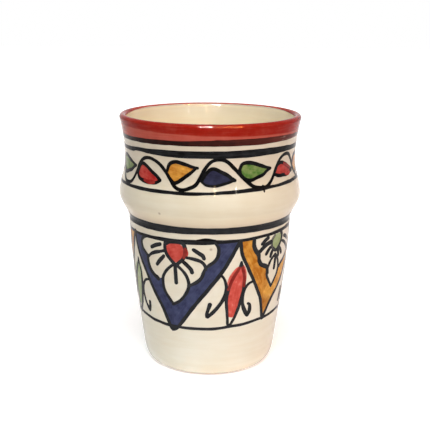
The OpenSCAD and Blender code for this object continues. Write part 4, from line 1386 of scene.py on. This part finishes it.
def lay_floor(width):
    """The pale floor, which isn't part of the cup."""
    half = width / 2
    mesh = bpy.data.meshes.new("studio_floor")
    mesh.from_pydata([(-half, -half, 0), (half, -half, 0), (half, half, 0), (-half, half, 0)],
                     [], [(0, 1, 2, 3)])
    mesh.materials.append(floor_material())
    floor = bpy.data.objects.new("studio_floor", mesh)
    bpy.context.scene.collection.objects.link(floor)
    floor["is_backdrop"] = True


def floor_material():
    """Matt white card: it takes the cup's shadow, and shows white to the camera. Its grain is
    1.1 mm across."""
    material, tree, shader = new_material("matt_white_card")
    place = node(tree, "ShaderNodeTexCoord")
    here = {"Vector": place.outputs["Object"]}
    grain = node(tree, "ShaderNodeTexNoise", {"Scale": per_metre(1.111), "Detail": 2}, here)
    bump = node(tree, "ShaderNodeBump", {"Strength": 0.1, "Distance": 0.05 * MM},
                {"Height": grain.outputs["Fac"]})
    # Away from the cup the lamps fall off, so the card is whitened more there
    away = node(tree, "ShaderNodeVectorMath", {"operation": "LENGTH"}, here)
    whiter = node(tree, "ShaderNodeMapRange", {"From Min": 100 * MM, "From Max": 500 * MM,
                                               "To Min": 0.5, "To Max": 1},
                  {"Value": away.outputs["Value"]})
    glow = node(tree, "ShaderNodeMath", {"operation": "MULTIPLY"},
                {0: white_seen(tree), 1: whiter.outputs["Result"]})
    tree.links.new(bump.outputs["Normal"], shader.inputs["Normal"])
    tree.links.new(glow.outputs["Value"], shader.inputs["Emission Strength"])
    shader.inputs["Emission Color"].default_value = (1, 1, 1, 1)
    shader.inputs["Base Color"].default_value = (0.85, 0.85, 0.85, 1)
    shader.inputs["Roughness"].default_value = 0.9
    shader.inputs["Specular IOR Level"].default_value = 0.1
    return material


def white_seen(tree):
    """1 for the rays that see the surroundings as white: the camera's, and those that gloss or
    glass sends on."""
    path = node(tree, "ShaderNodeLightPath")
    seen = path.outputs["Is Camera Ray"]
    for ray in ("Is Transmission Ray", "Is Glossy Ray"):
        seen = node(tree, "ShaderNodeMath", {"operation": "MAXIMUM"},
                    {0: seen, 1: path.outputs[ray]}).outputs["Value"]
    return seen


def light_room():
    """The world: white to the camera and in the gloss, and a soft room that lights the cup."""
    world = bpy.data.worlds.new("white_studio")
    bpy.context.scene.world = world
    world.use_nodes = True
    tree = world.node_tree
    tree.nodes.clear()
    place = node(tree, "ShaderNodeTexCoord")
    way = node(tree, "ShaderNodeSeparateXYZ", {}, {"Vector": place.outputs["Generated"]})
    side = node(tree, "ShaderNodeMapRange", {"From Max": WARMEST}, {"Value": way.outputs["X"]})
    room = node(tree, "ShaderNodeMix", {"data_type": "RGBA", 6: (*linear(ROOM_LEFT), 1),
                                        7: (*linear(ROOM_RIGHT), 1)},
                {0: side.outputs["Result"]})
    seen = white_seen(tree)
    colour = node(tree, "ShaderNodeMix", {"data_type": "RGBA", 7: (1, 1, 1, 1)},
                  {0: seen, 6: room.outputs[2]})
    strength = node(tree, "ShaderNodeMapRange", {"To Min": ROOM_LIGHT}, {"Value": seen})
    sky = node(tree, "ShaderNodeBackground", {},
               {"Color": colour.outputs[2], "Strength": strength.outputs["Result"]})
    node(tree, "ShaderNodeOutputWorld", links={"Surface": sky.outputs["Background"]})


def place_camera(sizes):
    """The camera, at the photograph's viewing angle."""
    camera = bpy.data.cameras.new("camera")
    camera.sensor_width = 36
    camera.lens = sizes.lens
    camera.clip_start = CLIP_START
    viewer = bpy.data.objects.new("camera", camera)
    turn = (Matrix.Rotation(-sizes.yaw, 4, "Z")
            @ Matrix.Rotation(math.radians(90) - sizes.pitch, 4, "X")
            @ Matrix.Rotation(sizes.roll, 4, "Z"))
    viewer.matrix_world = Matrix.Translation((0, -sizes.distance, sizes.camera_height)) @ turn
    bpy.context.scene.collection.objects.link(viewer)
    bpy.context.scene.camera = viewer


class SetStage(bpy.types.Operator):
    """Set the floor, the lamps, the world and the camera"""
    bl_idname = "tumbler.set_stage"
    bl_label = "Stage"

    def execute(self, context):
        sizes = context.scene.tumbler_stage
        lay_floor(sizes.floor_width)
        for row in SOFT_BOXES:
            area_lamp(*row)
        for row in GLINTS:
            area_lamp(*row).visible_diffuse = False
        light_room()
        place_camera(sizes)
        context.scene.view_settings.view_transform = "Standard"
        return {"FINISHED"}


class TumblerPanel(bpy.types.Panel):
    """Lists the sizes and the steps of making the tumbler"""
    bl_idname = "VIEW3D_PT_tumbler"
    bl_label = "Painted tea tumbler"
    bl_space_type = "VIEW_3D"
    bl_region_type = "UI"
    bl_category = "Tumbler"

    def draw(self, context):
        for operator in OPERATORS:
            self.layout.operator(operator.bl_idname)
        for name in GROUPS:
            group = getattr(context.scene, name)
            box = self.layout.box()
            for field in group.__annotations__:
                box.prop(group, field)


OPERATORS = [ThrowClay, DipGlaze, PaintRim, PullRings, PaintFrieze, PaintChevrons, PaintLances,
             SetStage]
GROUPS = {"tumbler_cup": TumblerCup, "tumbler_brush": TumblerBrush,
          "tumbler_colours": TumblerColours, "tumbler_stage": TumblerStage}


def register():
    """Adds the classes, and their sizes and colours to the scene"""
    for cls in [*GROUPS.values(), *OPERATORS, TumblerPanel]:
        bpy.utils.register_class(cls)
    for name, group in GROUPS.items():
        setattr(bpy.types.Scene, name, PointerProperty(type=group))


def unregister():
    """Takes them away again"""
    for name in GROUPS:
        delattr(bpy.types.Scene, name)
    for cls in reversed([*GROUPS.values(), *OPERATORS, TumblerPanel]):
        bpy.utils.unregister_class(cls)


def main():
    register()
    bpy.ops.tumbler.throw_clay()
    bpy.ops.tumbler.dip_glaze()
    bpy.ops.tumbler.paint_rim()
    bpy.ops.tumbler.pull_rings()
    bpy.ops.tumbler.paint_frieze()
    bpy.ops.tumbler.paint_chevrons()
    bpy.ops.tumbler.paint_lances()
    bpy.ops.tumbler.set_stage()
    boxes = {"cad": PACKED_BOX, "visual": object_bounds()}
    {name: [list(corner) for corner in box] for name, box in boxes.items()}


if __name__ == "__main__":
    main()
